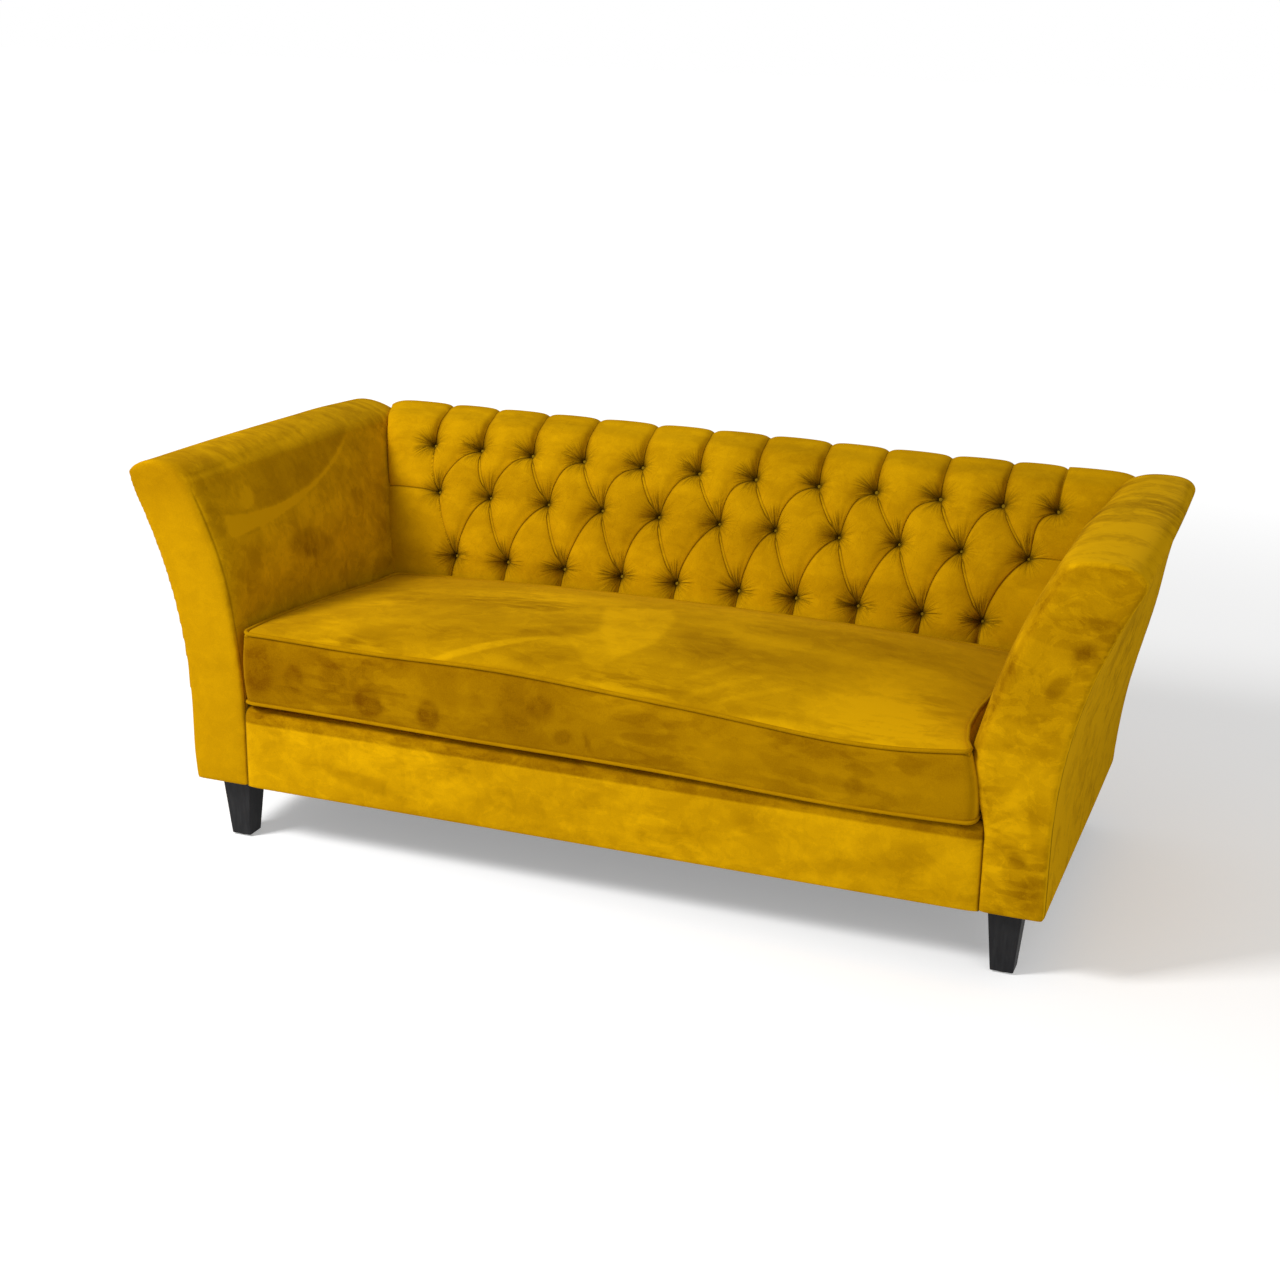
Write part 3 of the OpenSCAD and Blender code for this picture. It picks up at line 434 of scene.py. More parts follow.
@dataclass(frozen=True)
class Velvet:
    """Pile cloth whose brushed patches lie lighter and darker.

    It reads three fields of its piece, which are zero where they are left out: seam holds the
    distance from a seam and how strong that seam is, mark says how far a touch has turned the
    pile lighter or darker, or how far painted light and painted shade make it lighter or darker,
    and calm says how evenly it lies. scale, strokes and contrast set the pattern of the pile,
    bias its level, and ruffled how far the marks break up into flecks.
    """

    name: str
    light: Colour = (0.660, 0.349, 0.0015)
    dark: Colour = (0.160, 0.058, 0.0003)
    scale: float = 1.0
    strokes: float = 0.5
    bias: float = 0.0
    contrast: float = 1.0
    ruffled: float = 0.0
    seam_width: float = 0.0022
    seam_colour: Colour = (0.030, 0.012, 0.0)
    sheen: Colour = (1.0, 0.62, 0.05)

    def build(self, nap: bpy.types.NodeTree) -> Material:
        """Writes the material.

        Args:
            nap: the group that gives the lay and the grain of the pile.

        Returns:
            The finished material.
        """
        made, tree, shader = principled(self.name)
        pile = tree.node("Group", node_tree=nap)
        tree.feed(pile, {"Vector": tree.place(), "Scale": self.scale, "Strokes": self.strokes})
        lay, fleck, grain = pile.outputs
        even = tree.math("SUBTRACT", 1.0, tree.field("calm"))
        level = tree.math("MULTIPLY", tree.centred(lay), even)
        level = tree.math("MULTIPLY_ADD", level, self.contrast, 0.5 + self.bias)
        ruffle = tree.math("MULTIPLY_ADD", tree.centred(fleck), self.ruffled, 1.0)
        # mark adds the pile's touches, and the painted light and painted shade that some pieces carry
        level = tree.math("ADD", level, tree.math("MULTIPLY", tree.field("mark"), ruffle))
        level = tree.math("ADD", level, tree.math("MULTIPLY", tree.centred(grain), 0.30))
        level = tree.node("Clamp", {"Value": tree.math("MULTIPLY_ADD", level, 0.82, 0.18)}).outputs[0]
        line = self.line(tree, "seam", self.seam_width)
        colour = tree.mix(tree.math("MULTIPLY", line, 0.85), tree.mix(level, self.dark, self.light),
                          self.seam_colour)
        fine = tree.node("Bump", {"Strength": 0.25, "Distance": 0.0006, "Height": grain}).outputs[0]
        bump = tree.node("Bump", {"Strength": 0.7, "Distance": 0.003, "Height": line, "Normal": fine},
                         invert=True)
        colour, normal = self.tufting(tree, colour, bump.outputs[0])
        tree.feed(shader, {"Base Color": colour, "Normal": normal, "Roughness": 0.95,
                           "Specular IOR Level": 0.0, "Sheen Weight": 0.16, "Sheen Roughness": 0.40,
                           "Sheen Tint": (*self.sheen, 1.0)})
        return made

    def line(self, tree: Tree, name: str, width: float) -> Socket:
        """A soft line where a field's first part is near zero, as strong as its second part."""
        distance, strength, _ = tree.triple(name)
        off = tree.math("DIVIDE", distance, width)
        fall = tree.math("POWER", math.e, tree.math("MULTIPLY", tree.math("MULTIPLY", off, off), -1.0))
        return tree.math("MULTIPLY", fall, strength)

    def tufting(self, tree: Tree, colour: Socket, normal: Socket) -> tuple[Socket, Socket]:
        """Leaves the cloth plain; a tufted cloth adds its creases here."""
        return colour, normal


@dataclass(frozen=True)
class TuftedVelvet(Velvet):
    """Velvet drawn down by buttons.

    Its piece has two more sets of fields: rise and fall hold the distance from the two families
    of creases and their strength, tuft holds the way to the nearest button and how much painted
    shade darkens its pit, and fan says how strongly the cloth is gathered there. The creases and
    the gathers are darkened with painted shade.
    """

    rise_width: float = 0.0012
    fall_width: float = 0.0010
    # crease is the painted shade in the creases and puckers, and hollow the painted shade in the pits
    crease: Colour = (0.060, 0.025, 0.0002)
    hollow: Colour = (0.022, 0.008, 0.0)
    folds: float = 5.5

    def tufting(self, tree: Tree, colour: Socket, normal: Socket) -> tuple[Socket, Socket]:
        """Adds thin creases and radial puckers to the cloth, with painted shade in them and in the pits."""
        dx, ds, pit = tree.triple("tuft")
        angle = tree.math("ARCTAN2", ds, dx)
        cell = tree.noise(tree.place(), 3.0, 0.0)
        fan = tree.node("CombineXYZ", {0: tree.math("MULTIPLY", tree.math("COSINE", angle), self.folds),
                                       1: tree.math("MULTIPLY", tree.math("SINE", angle), self.folds),
                                       2: tree.math("MULTIPLY", cell, 9.0)}).outputs[0]
        folds = tree.math("ABSOLUTE", tree.centred(tree.noise(fan, 1.0, 2.0, 0.0, 0.6)))
        folds = tree.math("SUBTRACT", tree.ramp(folds, 0.0, 0.065), 1.0)
        pucker = tree.math("MULTIPLY", folds, tree.field("fan"))
        lines = tree.math("MAXIMUM", self.line(tree, "rise", self.rise_width),
                          self.line(tree, "fall", self.fall_width))
        # Painted shade in the puckers and along the creases
        dark = tree.math("MULTIPLY", tree.math("MULTIPLY", pucker, -1.0), 0.52)
        dark = tree.math("MAXIMUM", dark, tree.math("MULTIPLY", lines, 0.85))
        colour = tree.mix(dark, colour, self.crease)
        # Painted shade in each pit
        colour = tree.mix(tree.math("MULTIPLY", pit, 0.85), colour, self.hollow)
        height = tree.math("SUBTRACT", pucker, tree.math("MULTIPLY", lines, 1.2))
        bump = tree.node("Bump", {"Strength": 0.8, "Distance": 0.0030, "Height": height, "Normal": normal})
        return colour, bump.outputs[0]


@dataclass(frozen=True)
class Grained:
    """Wood, board, metal or cloth in two tones with a grain drawn along one direction."""

    name: str
    light: Colour
    dark: Colour
    stretch: Vec
    roughness: float
    bump: float = 0.0003
    metallic: float = 0.0
    specular: float = 0.5

    def build(self) -> Material:
        """Writes the material."""
        made, tree, shader = principled(self.name)
        drawn = tree.node("Mapping", {"Vector": tree.place(), "Scale": self.stretch}).outputs[0]
        grain = tree.noise(drawn, 1.0, 5.0, 0.6)
        bump = tree.node("Bump", {"Strength": 0.5, "Distance": self.bump, "Height": grain})
        tree.feed(shader, {"Base Color": tree.mix(tree.ramp(grain, 0.3, 0.7), self.dark, self.light),
                           "Roughness": tree.math("MULTIPLY_ADD", grain, 0.2, self.roughness - 0.1),
                           "Metallic": self.metallic, "Specular IOR Level": self.specular,
                           "Normal": bump.outputs[0]})
        return made


# ---- dressing ----


@dataclass
class Wardrobe:
    """All finishes of the sofa, each built once, on its first use."""

    nap: bpy.types.NodeTree = field(default_factory=nap_group)
    made: dict[str, Material] = field(default_factory=dict)

    def material(self, finish: Velvet | Grained) -> Material:
        """Gives the material of a finish."""
        if finish.name not in self.made:
            velvet = isinstance(finish, Velvet)
            self.made[finish.name] = finish.build(self.nap) if velvet else finish.build()
        return self.made[finish.name]

    def dress(self, piece: Object, finish: Velvet | Grained, body: Body, slot: Slot, *nodes: str,
              fill: float | None = None) -> Object:
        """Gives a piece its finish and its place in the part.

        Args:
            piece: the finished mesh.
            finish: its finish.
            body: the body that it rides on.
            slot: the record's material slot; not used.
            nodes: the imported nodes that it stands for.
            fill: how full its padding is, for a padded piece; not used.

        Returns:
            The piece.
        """
        piece.data.materials.clear()
        piece.data.materials.append(self.material(finish))
        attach(piece, body.value)
        if nodes:
            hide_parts(*nodes)
        log.info("%s: %d faces, on %s", piece.name, len(piece.data.polygons), body.value)
        return piece



# ---- back ----


@dataclass
class TuftedBack:
    """The deep-buttoned inside back with its covered buttons.

    foot_y, foot_z and foot_lean place the foot of the face, which curves back by radius and ends
    in a roll of roll_r. first, row, mid and last space the three rows up the face, and pitch the
    buttons along them. pit and pit_r are a pit's depth and reach, wall and crown the heights that
    the creases and the diamonds' middles add, channel and arm_dip the depths of the upright
    channels and of the edge by an arm, fold half the width of the fold along a crease, and pucker
    the width and depth of a fine fold at a button. bend_low, bend_high and bend_fall bow the two
    families of creases. side_cols and tail_rows count the faces beside the net and down the rear,
    and settled is how far the right-hand end of the roll has sunk.
    """

    wardrobe: Wardrobe
    foot_y: float = 0.628
    foot_z: float = 0.3003
    foot_lean: float = math.radians(7.5)
    radius: float = 0.720
    roll_r: float = 0.024
    pitch: float = 0.130
    top_count: int = 12
    first: float = 0.150
    row: float = 0.119
    mid: float = 0.014
    last: float = 0.097
    pit: float = 0.024
    pit_r: float = 0.046
    wall: float = 0.008
    crown: float = 0.009
    channel: float = 0.006
    arm_dip: float = 0.012
    fold: float = 0.0024
    pucker: float = 0.0024
    bend_low: float = 0.085
    bend_high: float = 0.140
    bend_fall: float = 0.040
    settled: float = 0.005
    mesh_step: float = 0.002
    side_cols: int = 44
    tail_rows: int = 14
    rear_in: float = 0.0385
    shoulder: float = 0.742
    clear: float = 0.0005
    button_r: float = 0.0088
    button_flat: float = 0.42
    button_sunk: float = 0.0050
    tilt: float = math.radians(18.0)

    def __post_init__(self) -> None:
        """Works out the lengths along the face."""
        self.face = self.first + 2 * self.row + self.last
        self.top_angle = self.foot_lean + self.face / self.radius
        y, z = self.arc(np.array([self.face]))
        self.roll_y = float(y[0]) + self.roll_r * math.cos(self.top_angle)
        self.roll_z = float(z[0]) - self.roll_r * math.sin(self.top_angle)
        self.over = self.face + self.roll_r * (math.pi - self.top_angle)

    def arc(self, s: Array) -> tuple[Array, Array]:
        """Depth and height of the face's arc at distance s from its foot."""
        angle = self.foot_lean + s / self.radius
        return (self.foot_y + self.radius * (math.cos(self.foot_lean) - np.cos(angle)),
                self.foot_z + self.radius * (np.sin(angle) - math.sin(self.foot_lean)))

    def section(self, s: Array) -> tuple[Array, Array, Array, Array]:
        """Side view of the pad before it is tufted.

        Args:
            s: distance from the foot, up the face, over the roll and down the rear.

        Returns:
            Depth, height, and the two parts of the outward direction.
        """
        angle = np.where(s <= self.face, self.foot_lean + s / self.radius,
                         self.top_angle + (s - self.face) / self.roll_r)
        angle = np.minimum(angle, math.pi)
        y, z = self.arc(np.minimum(s, self.face))
        past = s > self.face
        y = np.where(past, self.roll_y - self.roll_r * np.cos(angle), y)
        z = np.where(past, self.roll_z + self.roll_r * np.sin(angle), z)
        z = z - np.maximum(s - self.over, 0.0)
        return y, z, -np.cos(angle), np.sin(angle)

    def rows(self) -> Array:
        """Distance of the three rows from the foot, up the face."""
        return np.array([self.first, self.first + self.row + self.mid, self.first + 2 * self.row])

    def drift(self, x: Array, level: Array) -> Array:
        """How far the hand-set tufts have moved across from an even pitch."""
        top = ease(level, 1.0, 2.0)
        ends = 0.031 * bell(x, -0.684, 0.13) - 0.0146 * bell(x, 0.70, 0.08)
        return top * ends + 0.004 * np.sin(19.0 * x + 2.1 * level)

    def buttons(self) -> list[tuple[int, float, float]]:
        """Row, place across and place up the face of every button."""
        found = []
        for row, s in enumerate(self.rows()):
            count = self.top_count - 2 + row
            for i in range(count):
                even = (i - (count - 1) / 2) * self.pitch
                x = even
                for _ in range(12):
                    x = even + float(self.drift(np.array(x), np.array(float(row))))
                found.append((row, x, float(s)))
        return found

    def height(self, x: Array, s: Array, edge: Array) -> Array:
        """Height of the padding above the buttons' level.

        Args:
            x: place across.
            s: distance up the face.
            edge: distance from the arm.

        Returns:
            The height at each point, in metres.
        """
        rows = self.rows()
        lattice = self.creases(x, s)
        off_rise, off_fall, near = lattice["rise"], lattice["fall"], lattice["near"]
        side, upright = lattice["side"], lattice["upright"]
        close = decay(near, 0.040)
        reach = np.where(off_rise > 0, 0.0055, 0.013)
        reach = np.where(side | upright, 0.010, reach)
        strip = self.strip(near) * (~side & ~upright)
        wall_rise = soft(np.abs(off_rise), reach)
        wall_fall = soft(np.abs(np.abs(off_fall) - strip), 0.007)
        upper = ease(s, rows[2], self.face)
        dome = (np.abs(np.sin(math.pi * lattice["p"])) * np.abs(np.sin(math.pi * lattice["q"]))) ** 0.55
        dome = np.where(side, soft(np.abs(off_fall), 0.030) * soft(np.abs(off_rise), 0.030), dome)
        into = 1.0 - np.minimum(near / self.pit_r, 1.0)
        funnel = np.sqrt(np.maximum(1.0 - into ** 2, 0.0))
        walls = 1.0 - (0.40 + 0.60 * close) * (1.0 - wall_rise)
        walls = walls * (1.0 - (0.30 + 0.60 * close) * (1.0 - wall_fall))
        foot = 0.62 + 0.38 * ease(s, 0.0, self.first)
        well = soft(near, 0.008)
        total = foot * (self.pit * funnel * (1 - 0.30 * upper)
                        + well * (self.wall * walls + self.crown * dome * (1 - 0.45 * upper)))
        channel = bell(off_fall, 0.0, 0.007) * upright * well
        total = total - self.channel * channel * np.where(s > rows[1], 1.0, 0.7)
        roll = ease(s, self.face - 0.045, self.face + 0.016)
        total = total * (1 - 0.80 * roll) - 0.005 * roll * (1 - soft(np.abs(off_fall), 0.010))
        fade = 1.0 - ease(s, self.over - 0.020, self.over)
        return fade * (total - self.arm_dip * decay(edge, 0.018))

    def strip(self, near: Array) -> Array:
        """Half the width of the fold that lies flat along a crease, by the distance from a button."""
        return self.fold * ease(near, 0.014, 0.034)

    def creases(self, x: Array, s: Array) -> dict[str, Array]:
        """Places each point in the net of creases.

        Args:
            x: place across.
            s: distance up the face.

        Returns:
            p and q, the point's place along both families of creases; rise and fall, its signed
            distance from them; near, its distance from a button; to_x and to_s, the way from that
            button; side and upright, whether it lies beside the net or above or below it.
        """
        rows = self.rows()
        level = np.interp(s, rows, [0.0, 1.0, 2.0])
        upright = ~((s > rows[0]) & (s < rows[2]))
        apart = np.where(s < rows[1], rows[1] - rows[0], rows[2] - rows[1])
        a = (x - self.drift(x, level)) / self.pitch
        shift = (self.top_count - 3) / 2
        p = a + level / 2 + shift
        q = a - level / 2 + shift
        between = ease(s, rows[0] - 0.03, rows[0] + 0.02) * (1.0 - ease(s, rows[2] - 0.02, rows[2] + 0.03))
        bend = self.bend_low + (self.bend_high - self.bend_low) * ease(level, 0.7, 1.3)
        q_bent = q + bend * np.abs(np.sin(math.pi * p)) ** 1.3 * between
        p_bent = p + self.bend_fall * np.abs(np.sin(math.pi * q)) ** 1.3 * between
        near, to_x, to_s = np.full_like(x, 1.0), np.zeros_like(x), np.zeros_like(x)
        for _, bx, bs in self.buttons():
            away = np.hypot(x - bx, s - bs)
            closer = away < near
            near = np.where(closer, away, near)
            to_x = np.where(closer, x - bx, to_x)
            to_s = np.where(closer, s - bs, to_s)
        metres = np.where(upright, self.pitch, 1.0 / np.hypot(1.0 / self.pitch, 0.5 / apart))
        rise = (q_bent - np.round(q_bent)) * metres
        fall = (p_bent - np.round(p_bent)) * metres
        last = self.top_count - 3
        left, right = p_bent < 0.0, q_bent > last
        across = s - rows[1]
        fall = np.where(left, p_bent * metres, np.where(right, across, fall))
        rise = np.where(right, (q_bent - last) * metres, np.where(left, across, rise))
        return {"p": p_bent, "q": q_bent, "rise": rise, "fall": fall, "near": near, "to_x": to_x,
                "to_s": to_s, "side": left | right, "upright": upright}

    def shade(self, x: Array, s: Array) -> dict[str, Array]:
        """Creases, way to the nearest button and pits for the finish, with painted shade and painted
        highlights about the buttons and creases.

        Args:
            x: place across.
            s: distance up the face.

        Returns:
            The finish's fields by name.
        """
        net = self.creases(x, s)
        near, fall, upright = net["near"], net["fall"], net["upright"]
        on_face = 1.0 - ease(s, self.face, self.over - 0.010)
        plain = net["side"] | upright
        depth = 0.55 + 0.45 * decay(near, 0.030)
        rise = np.where(upright & ~net["side"], 0.0, depth)
        fade = 1.0 - 0.35 * ease(near, 0.020, 0.060)
        off = np.where(plain, fall, np.abs(fall) - self.strip(near))
        # Painted shade in each pit
        pit = bell(near, 0.0, 0.0105) + 0.22 * bell(near, 0.0, 0.024)
        angle = np.degrees(np.arctan2(net["to_s"], net["to_x"]))
        row = np.rint(np.interp(s - net["to_s"], self.rows(), [0.0, 1.0, 2.0]))

        def sector(middle: float, spread: float) -> Array:
            """1 along a direction from the button, fading to either side of it."""
            return bell((angle - middle + 180.0) % 360.0 - 180.0, 0.0, spread)

        fan = np.where(row == 0, np.maximum(sector(182.0, 26.0), sector(0.0, 22.0)), 0.0)
        fan = np.where(row == 2, np.maximum(sector(228.0, 24.0), 0.8 * sector(165.0, 30.0)), fan)
        fan = np.where(row < 2, np.maximum(fan, sector(97.0, 22.0)), fan)
        # Painted shade on the slope beside each button, where the cloth dips into its pit
        shadow = np.where(row == 0, np.maximum(sector(195.0, 62.0), 0.8 * sector(103.0, 26.0)),
                          np.maximum(sector(190.0, 60.0), 0.6 * sector(100.0, 26.0)))
        mark = -0.62 * shadow * decay(near, 0.024)
        # Painted highlight and painted shade on the fold beside each rising crease, and a painted highlight
        # along each falling crease
        along = np.abs(np.sin(math.pi * net["p"]))
        left = -net["rise"]
        wide = 0.003 + 0.008 * along
        folded = (left > 0) & ~plain
        lit = 0.16 * bell(left, 0.5 * wide, 0.5 * wide)
        shaded = (0.05 + 0.30 * decay(near, 0.030)) * bell(left, 1.5 * wide, 0.9 * wide)
        mark = mark + folded * along * (lit - shaded) + 0.10 * bell(fall, 0.0, 0.0018) * ~plain
        # Painted shade beside the channel below each lowest button, and in the channels above the top row
        below = np.where(upright & (s < self.rows()[1]), -fall, -1.0)
        mark = mark - 0.42 * (below > 0) * decay(np.maximum(below, 0.0), 0.016)
        above = np.where(upright & (s > self.rows()[1]), np.abs(fall), 1.0)
        mark = mark - 0.35 * decay(above, 0.008)
        fan = np.maximum(fan, 0.30) * (1.0 - ease(near, 0.020, 0.056)) * on_face
        return {"mark": mark * on_face, "fan": fan,
                "rise": line_field(net["rise"], rise * on_face),
                "fall": line_field(off, depth * fade * on_face),
                "tuft": np.column_stack([net["to_x"], net["to_s"], np.clip(pit * on_face, 0, 1)])}

    def puckers(self, x: Array, s: Array) -> Array:
        """Fine folds that run out from every button."""
        rng = np.random.default_rng(7)
        total = np.zeros_like(x)
        for row, bx, bs in self.buttons():
            dx, ds = x - bx, s - bs
            r = np.hypot(dx, ds)
            close = r < 0.075
            angle = np.degrees(np.arctan2(ds[close], dx[close]))
            reach = r[close]
            folds = np.zeros_like(reach)
            fans = [(90, 30, 4, 0.030), (178, 28, 4, 0.018), (4, 20, 2, 0.014)]
            if row == 0:
                fans.append((235, 40, 5, 0.020))
            for middle, spread, count, length in fans:
                for k in range(count):
                    at = middle + spread * (2 * (k + 0.5) / count - 1) + rng.normal(0, 3)
                    size = rng.uniform(0.5, 1.0)
                    turn = (angle - at + 180) % 360 - 180
                    off = np.radians(turn) * reach / self.pucker
                    stretch = decay(np.maximum(reach - 0.012, 0), length * size)
                    folds += size * bell(off, 0.0, 1.0) * stretch * ease(reach, 0.006, 0.014)
            total[close] -= self.pucker * folds
        return total

    def build(self) -> None:
        """Builds and dresses the pad and its buttons."""
        inner = self.pitch * (self.top_count - 1) / 2
        inside = round(inner / self.mesh_step)
        cols = 2 * (inside + self.side_cols)
        rows_face = round(self.over / self.mesh_step)
        tail = self.tail_rows

        def net(u: Array, v: Array) -> tuple[Array, ...]:
            """Lays the grid round the pad's side view before it is tufted."""
            j = np.rint(v * (rows_face + tail))
            s = np.minimum(j / rows_face, 1.0) * self.over
            y, z, ny, nz = self.section(s)
            k = np.clip(j - rows_face, 0, tail)
            top_z = self.roll_z - 0.012
            foot = k >= tail
            z = np.where(k == 1, top_z, z)
            down = np.clip((k - 2) / (tail - 3), 0.0, 1.0)
            behind = (k >= 2) & ~foot
            rear_z = top_z + (self.foot_z - top_z) * down
            y = np.where(behind, FORM.rear(rear_z) - self.rear_in, y)
            z = np.where(behind, rear_z, z)
            y0, z0 = self.arc(np.zeros(1))
            y = np.where(foot, y0[0], y)
            z = np.where(foot, z0[0], z)
            i = np.rint(u * cols) - cols / 2
            wide = FORM.half + FORM.swollen(np.minimum(z, self.shoulder), 0.010) - self.clear
            out = np.clip((np.abs(i) - inside) / self.side_cols, 0.0, 1.0)
            x = np.sign(i) * np.where(out > 0, inner + (wide - inner) * out, np.abs(i) * inner / inside)
            return x, y, z, ny, nz, s, wide, k < 1

        def place(u: Array, v: Array) -> Triple:
            """Draws the face down into its creases and pits."""
            x, y, z, ny, nz, s, wide, front = net(u, v)
            h = np.zeros_like(x)
            h[front] = self.height(x[front], s[front], (wide - np.abs(x))[front])
            h[front] += self.puckers(x[front], s[front])
            settled = self.settled * ease(x, 0.0, 0.5) * ease(z, 0.60, 0.74)
            return x, y + ny * h + FORM.front, z + nz * h - settled

        def fields(u: Array, v: Array) -> dict[str, Array]:
            """Tells the finish where the creases and buttons are, and where shade and highlights are painted.
            """
            x, _, _, _, _, s, _, front = net(u, v)
            found = self.shade(x, s)
            for values in found.values():
                if values.ndim == 1:
                    values[~front] = 0.0
                else:
                    values[~front, 1:] = 0.0
            return found

        pad = grid_piece("back_padding", cols, rows_face + tail, place, fields)
        cloth = TuftedVelvet("velvet_back", scale=1.2, bias=0.12, contrast=0.55, strokes=0.3)
        self.wardrobe.dress(pad, cloth, Body.SOFA, Slot.VELVET, "back_pad", fill=0.8)
        self.build_buttons()

    def build_buttons(self) -> None:
        """Builds the covered buttons as one piece."""
        bm = bmesh.new()
        tilt = Matrix.Rotation(math.pi / 2 - self.tilt, 4, "X")
        for _, x, s in self.buttons():
            y, z = self.arc(np.array([s]))
            at = Vector((x, float(y[0]) + FORM.front - self.button_sunk, float(z[0])))
            cap = bmesh.ops.create_uvsphere(bm, u_segments=20, v_segments=10, radius=self.button_r)
            bmesh.ops.scale(bm, vec=(1.0, 1.0, self.button_flat), verts=cap["verts"])
            bmesh.ops.transform(bm, matrix=Matrix.Translation(at) @ tilt, verts=cap["verts"])
        cloth = Velvet("velvet_buttons", light=(0.30, 0.18, 0.009), dark=(0.15, 0.085, 0.004), contrast=0.4)
        self.wardrobe.dress(mesh_piece("back_button_caps", bm), cloth, Body.SOFA, Slot.TRIM, "back_buttons")


# ---- arms ----


@dataclass(frozen=True)
class ArmShape:
    """How one arm's padding departs from the plain profile, in metres.

    swell and front_swell push the inner side toward the seat, over a height of span from
    swell_from up; low_swell does so at the cushion, and nook at its rear corner. widen, belly and
    rear_swell push the outer side out. lower and sink bring the crown down, more toward the rear.
    inner_seam is the strength of the front's inner seam, and bias and contrast set the pile.
    """

    side: int
    name: str
    swell: float
    front_swell: float
    swell_from: float
    span: float
    low_swell: float
    nook: float
    widen: float
    belly: float
    rear_swell: float
    lower: float
    sink: float
    crown_power: float
    inner_seam: float
    bias: float
    contrast: float


ARMS = (
    ArmShape(side=-1, name="left", swell=0.024, front_swell=0.003, swell_from=0.40, span=0.22,
             low_swell=0.0, nook=0.0225, widen=0.006, belly=0.020, rear_swell=0.007, lower=0.009,
             sink=0.030, crown_power=1.8, inner_seam=0.4, bias=-0.02, contrast=0.9),
    ArmShape(side=1, name="right", swell=0.046, front_swell=0.022, swell_from=0.26, span=0.15,
             low_swell=0.006, nook=0.006, widen=0.0, belly=0.031, rear_swell=0.0, lower=0.001,
             sink=0.035, crown_power=2.6, inner_seam=0.0, bias=0.02, contrast=1.15),
)


@dataclass(frozen=True)
class Touch:
    """A place where the pile was pressed the other way.

    at is its middle and size its half axes, in metres. change is added to the pile's level, turn
    tilts the place, in degrees, and edge is the share of its size over which it fades.
    """

    at: tuple[float, float]
    size: tuple[float, float]
    change: float
    turn: float = 0.0
    edge: float = 0.25

    def over(self, a: Array, b: Array) -> Array:
        """How far it changes the pile at places a, b of a surface."""
        da, db = a - self.at[0], b - self.at[1]
        turn = math.radians(self.turn)
        along = (da * math.cos(turn) + db * math.sin(turn)) / self.size[0]
        across = (db * math.cos(turn) - da * math.sin(turn)) / self.size[1]
        return self.change * (1.0 - ease(np.hypot(along, across), 1.0 - self.edge, 1.0 + self.edge))


@dataclass(frozen=True)
class Patch:
    """A place with straight edges where the pile lies the other way; its corners run clockwise."""

    corners: tuple[tuple[float, float], ...]
    change: float
    edge: float = 0.008

    def over(self, a: Array, b: Array) -> Array:
        """How far it changes the pile at places a, b of a surface."""
        within = np.full_like(a, 1.0)
        for (a0, b0), (a1, b1) in zip(self.corners, self.corners[1:] + self.corners[:1]):
            reach = math.hypot(a1 - a0, b1 - b0)
            within = np.minimum(within, ((b1 - b0) * (a - a0) - (a1 - a0) * (b - b0)) / reach)
        return self.change * ease(within, -self.edge, self.edge)


def touches(*rows: tuple[float, ...]) -> tuple[Touch, ...]:
    """Makes touches of rows that hold the middle, the size, the change and, if need be, turn and edge."""
    return tuple(Touch(row[:2], row[2:4], *row[4:]) for row in rows)


def pressed(places: tuple[Touch | Patch, ...], a: Array, b: Array) -> Array:
    """How far all the pressed places together change the pile at places a, b of a surface."""
    return sum((place.over(a, b) for place in places), np.zeros_like(a))


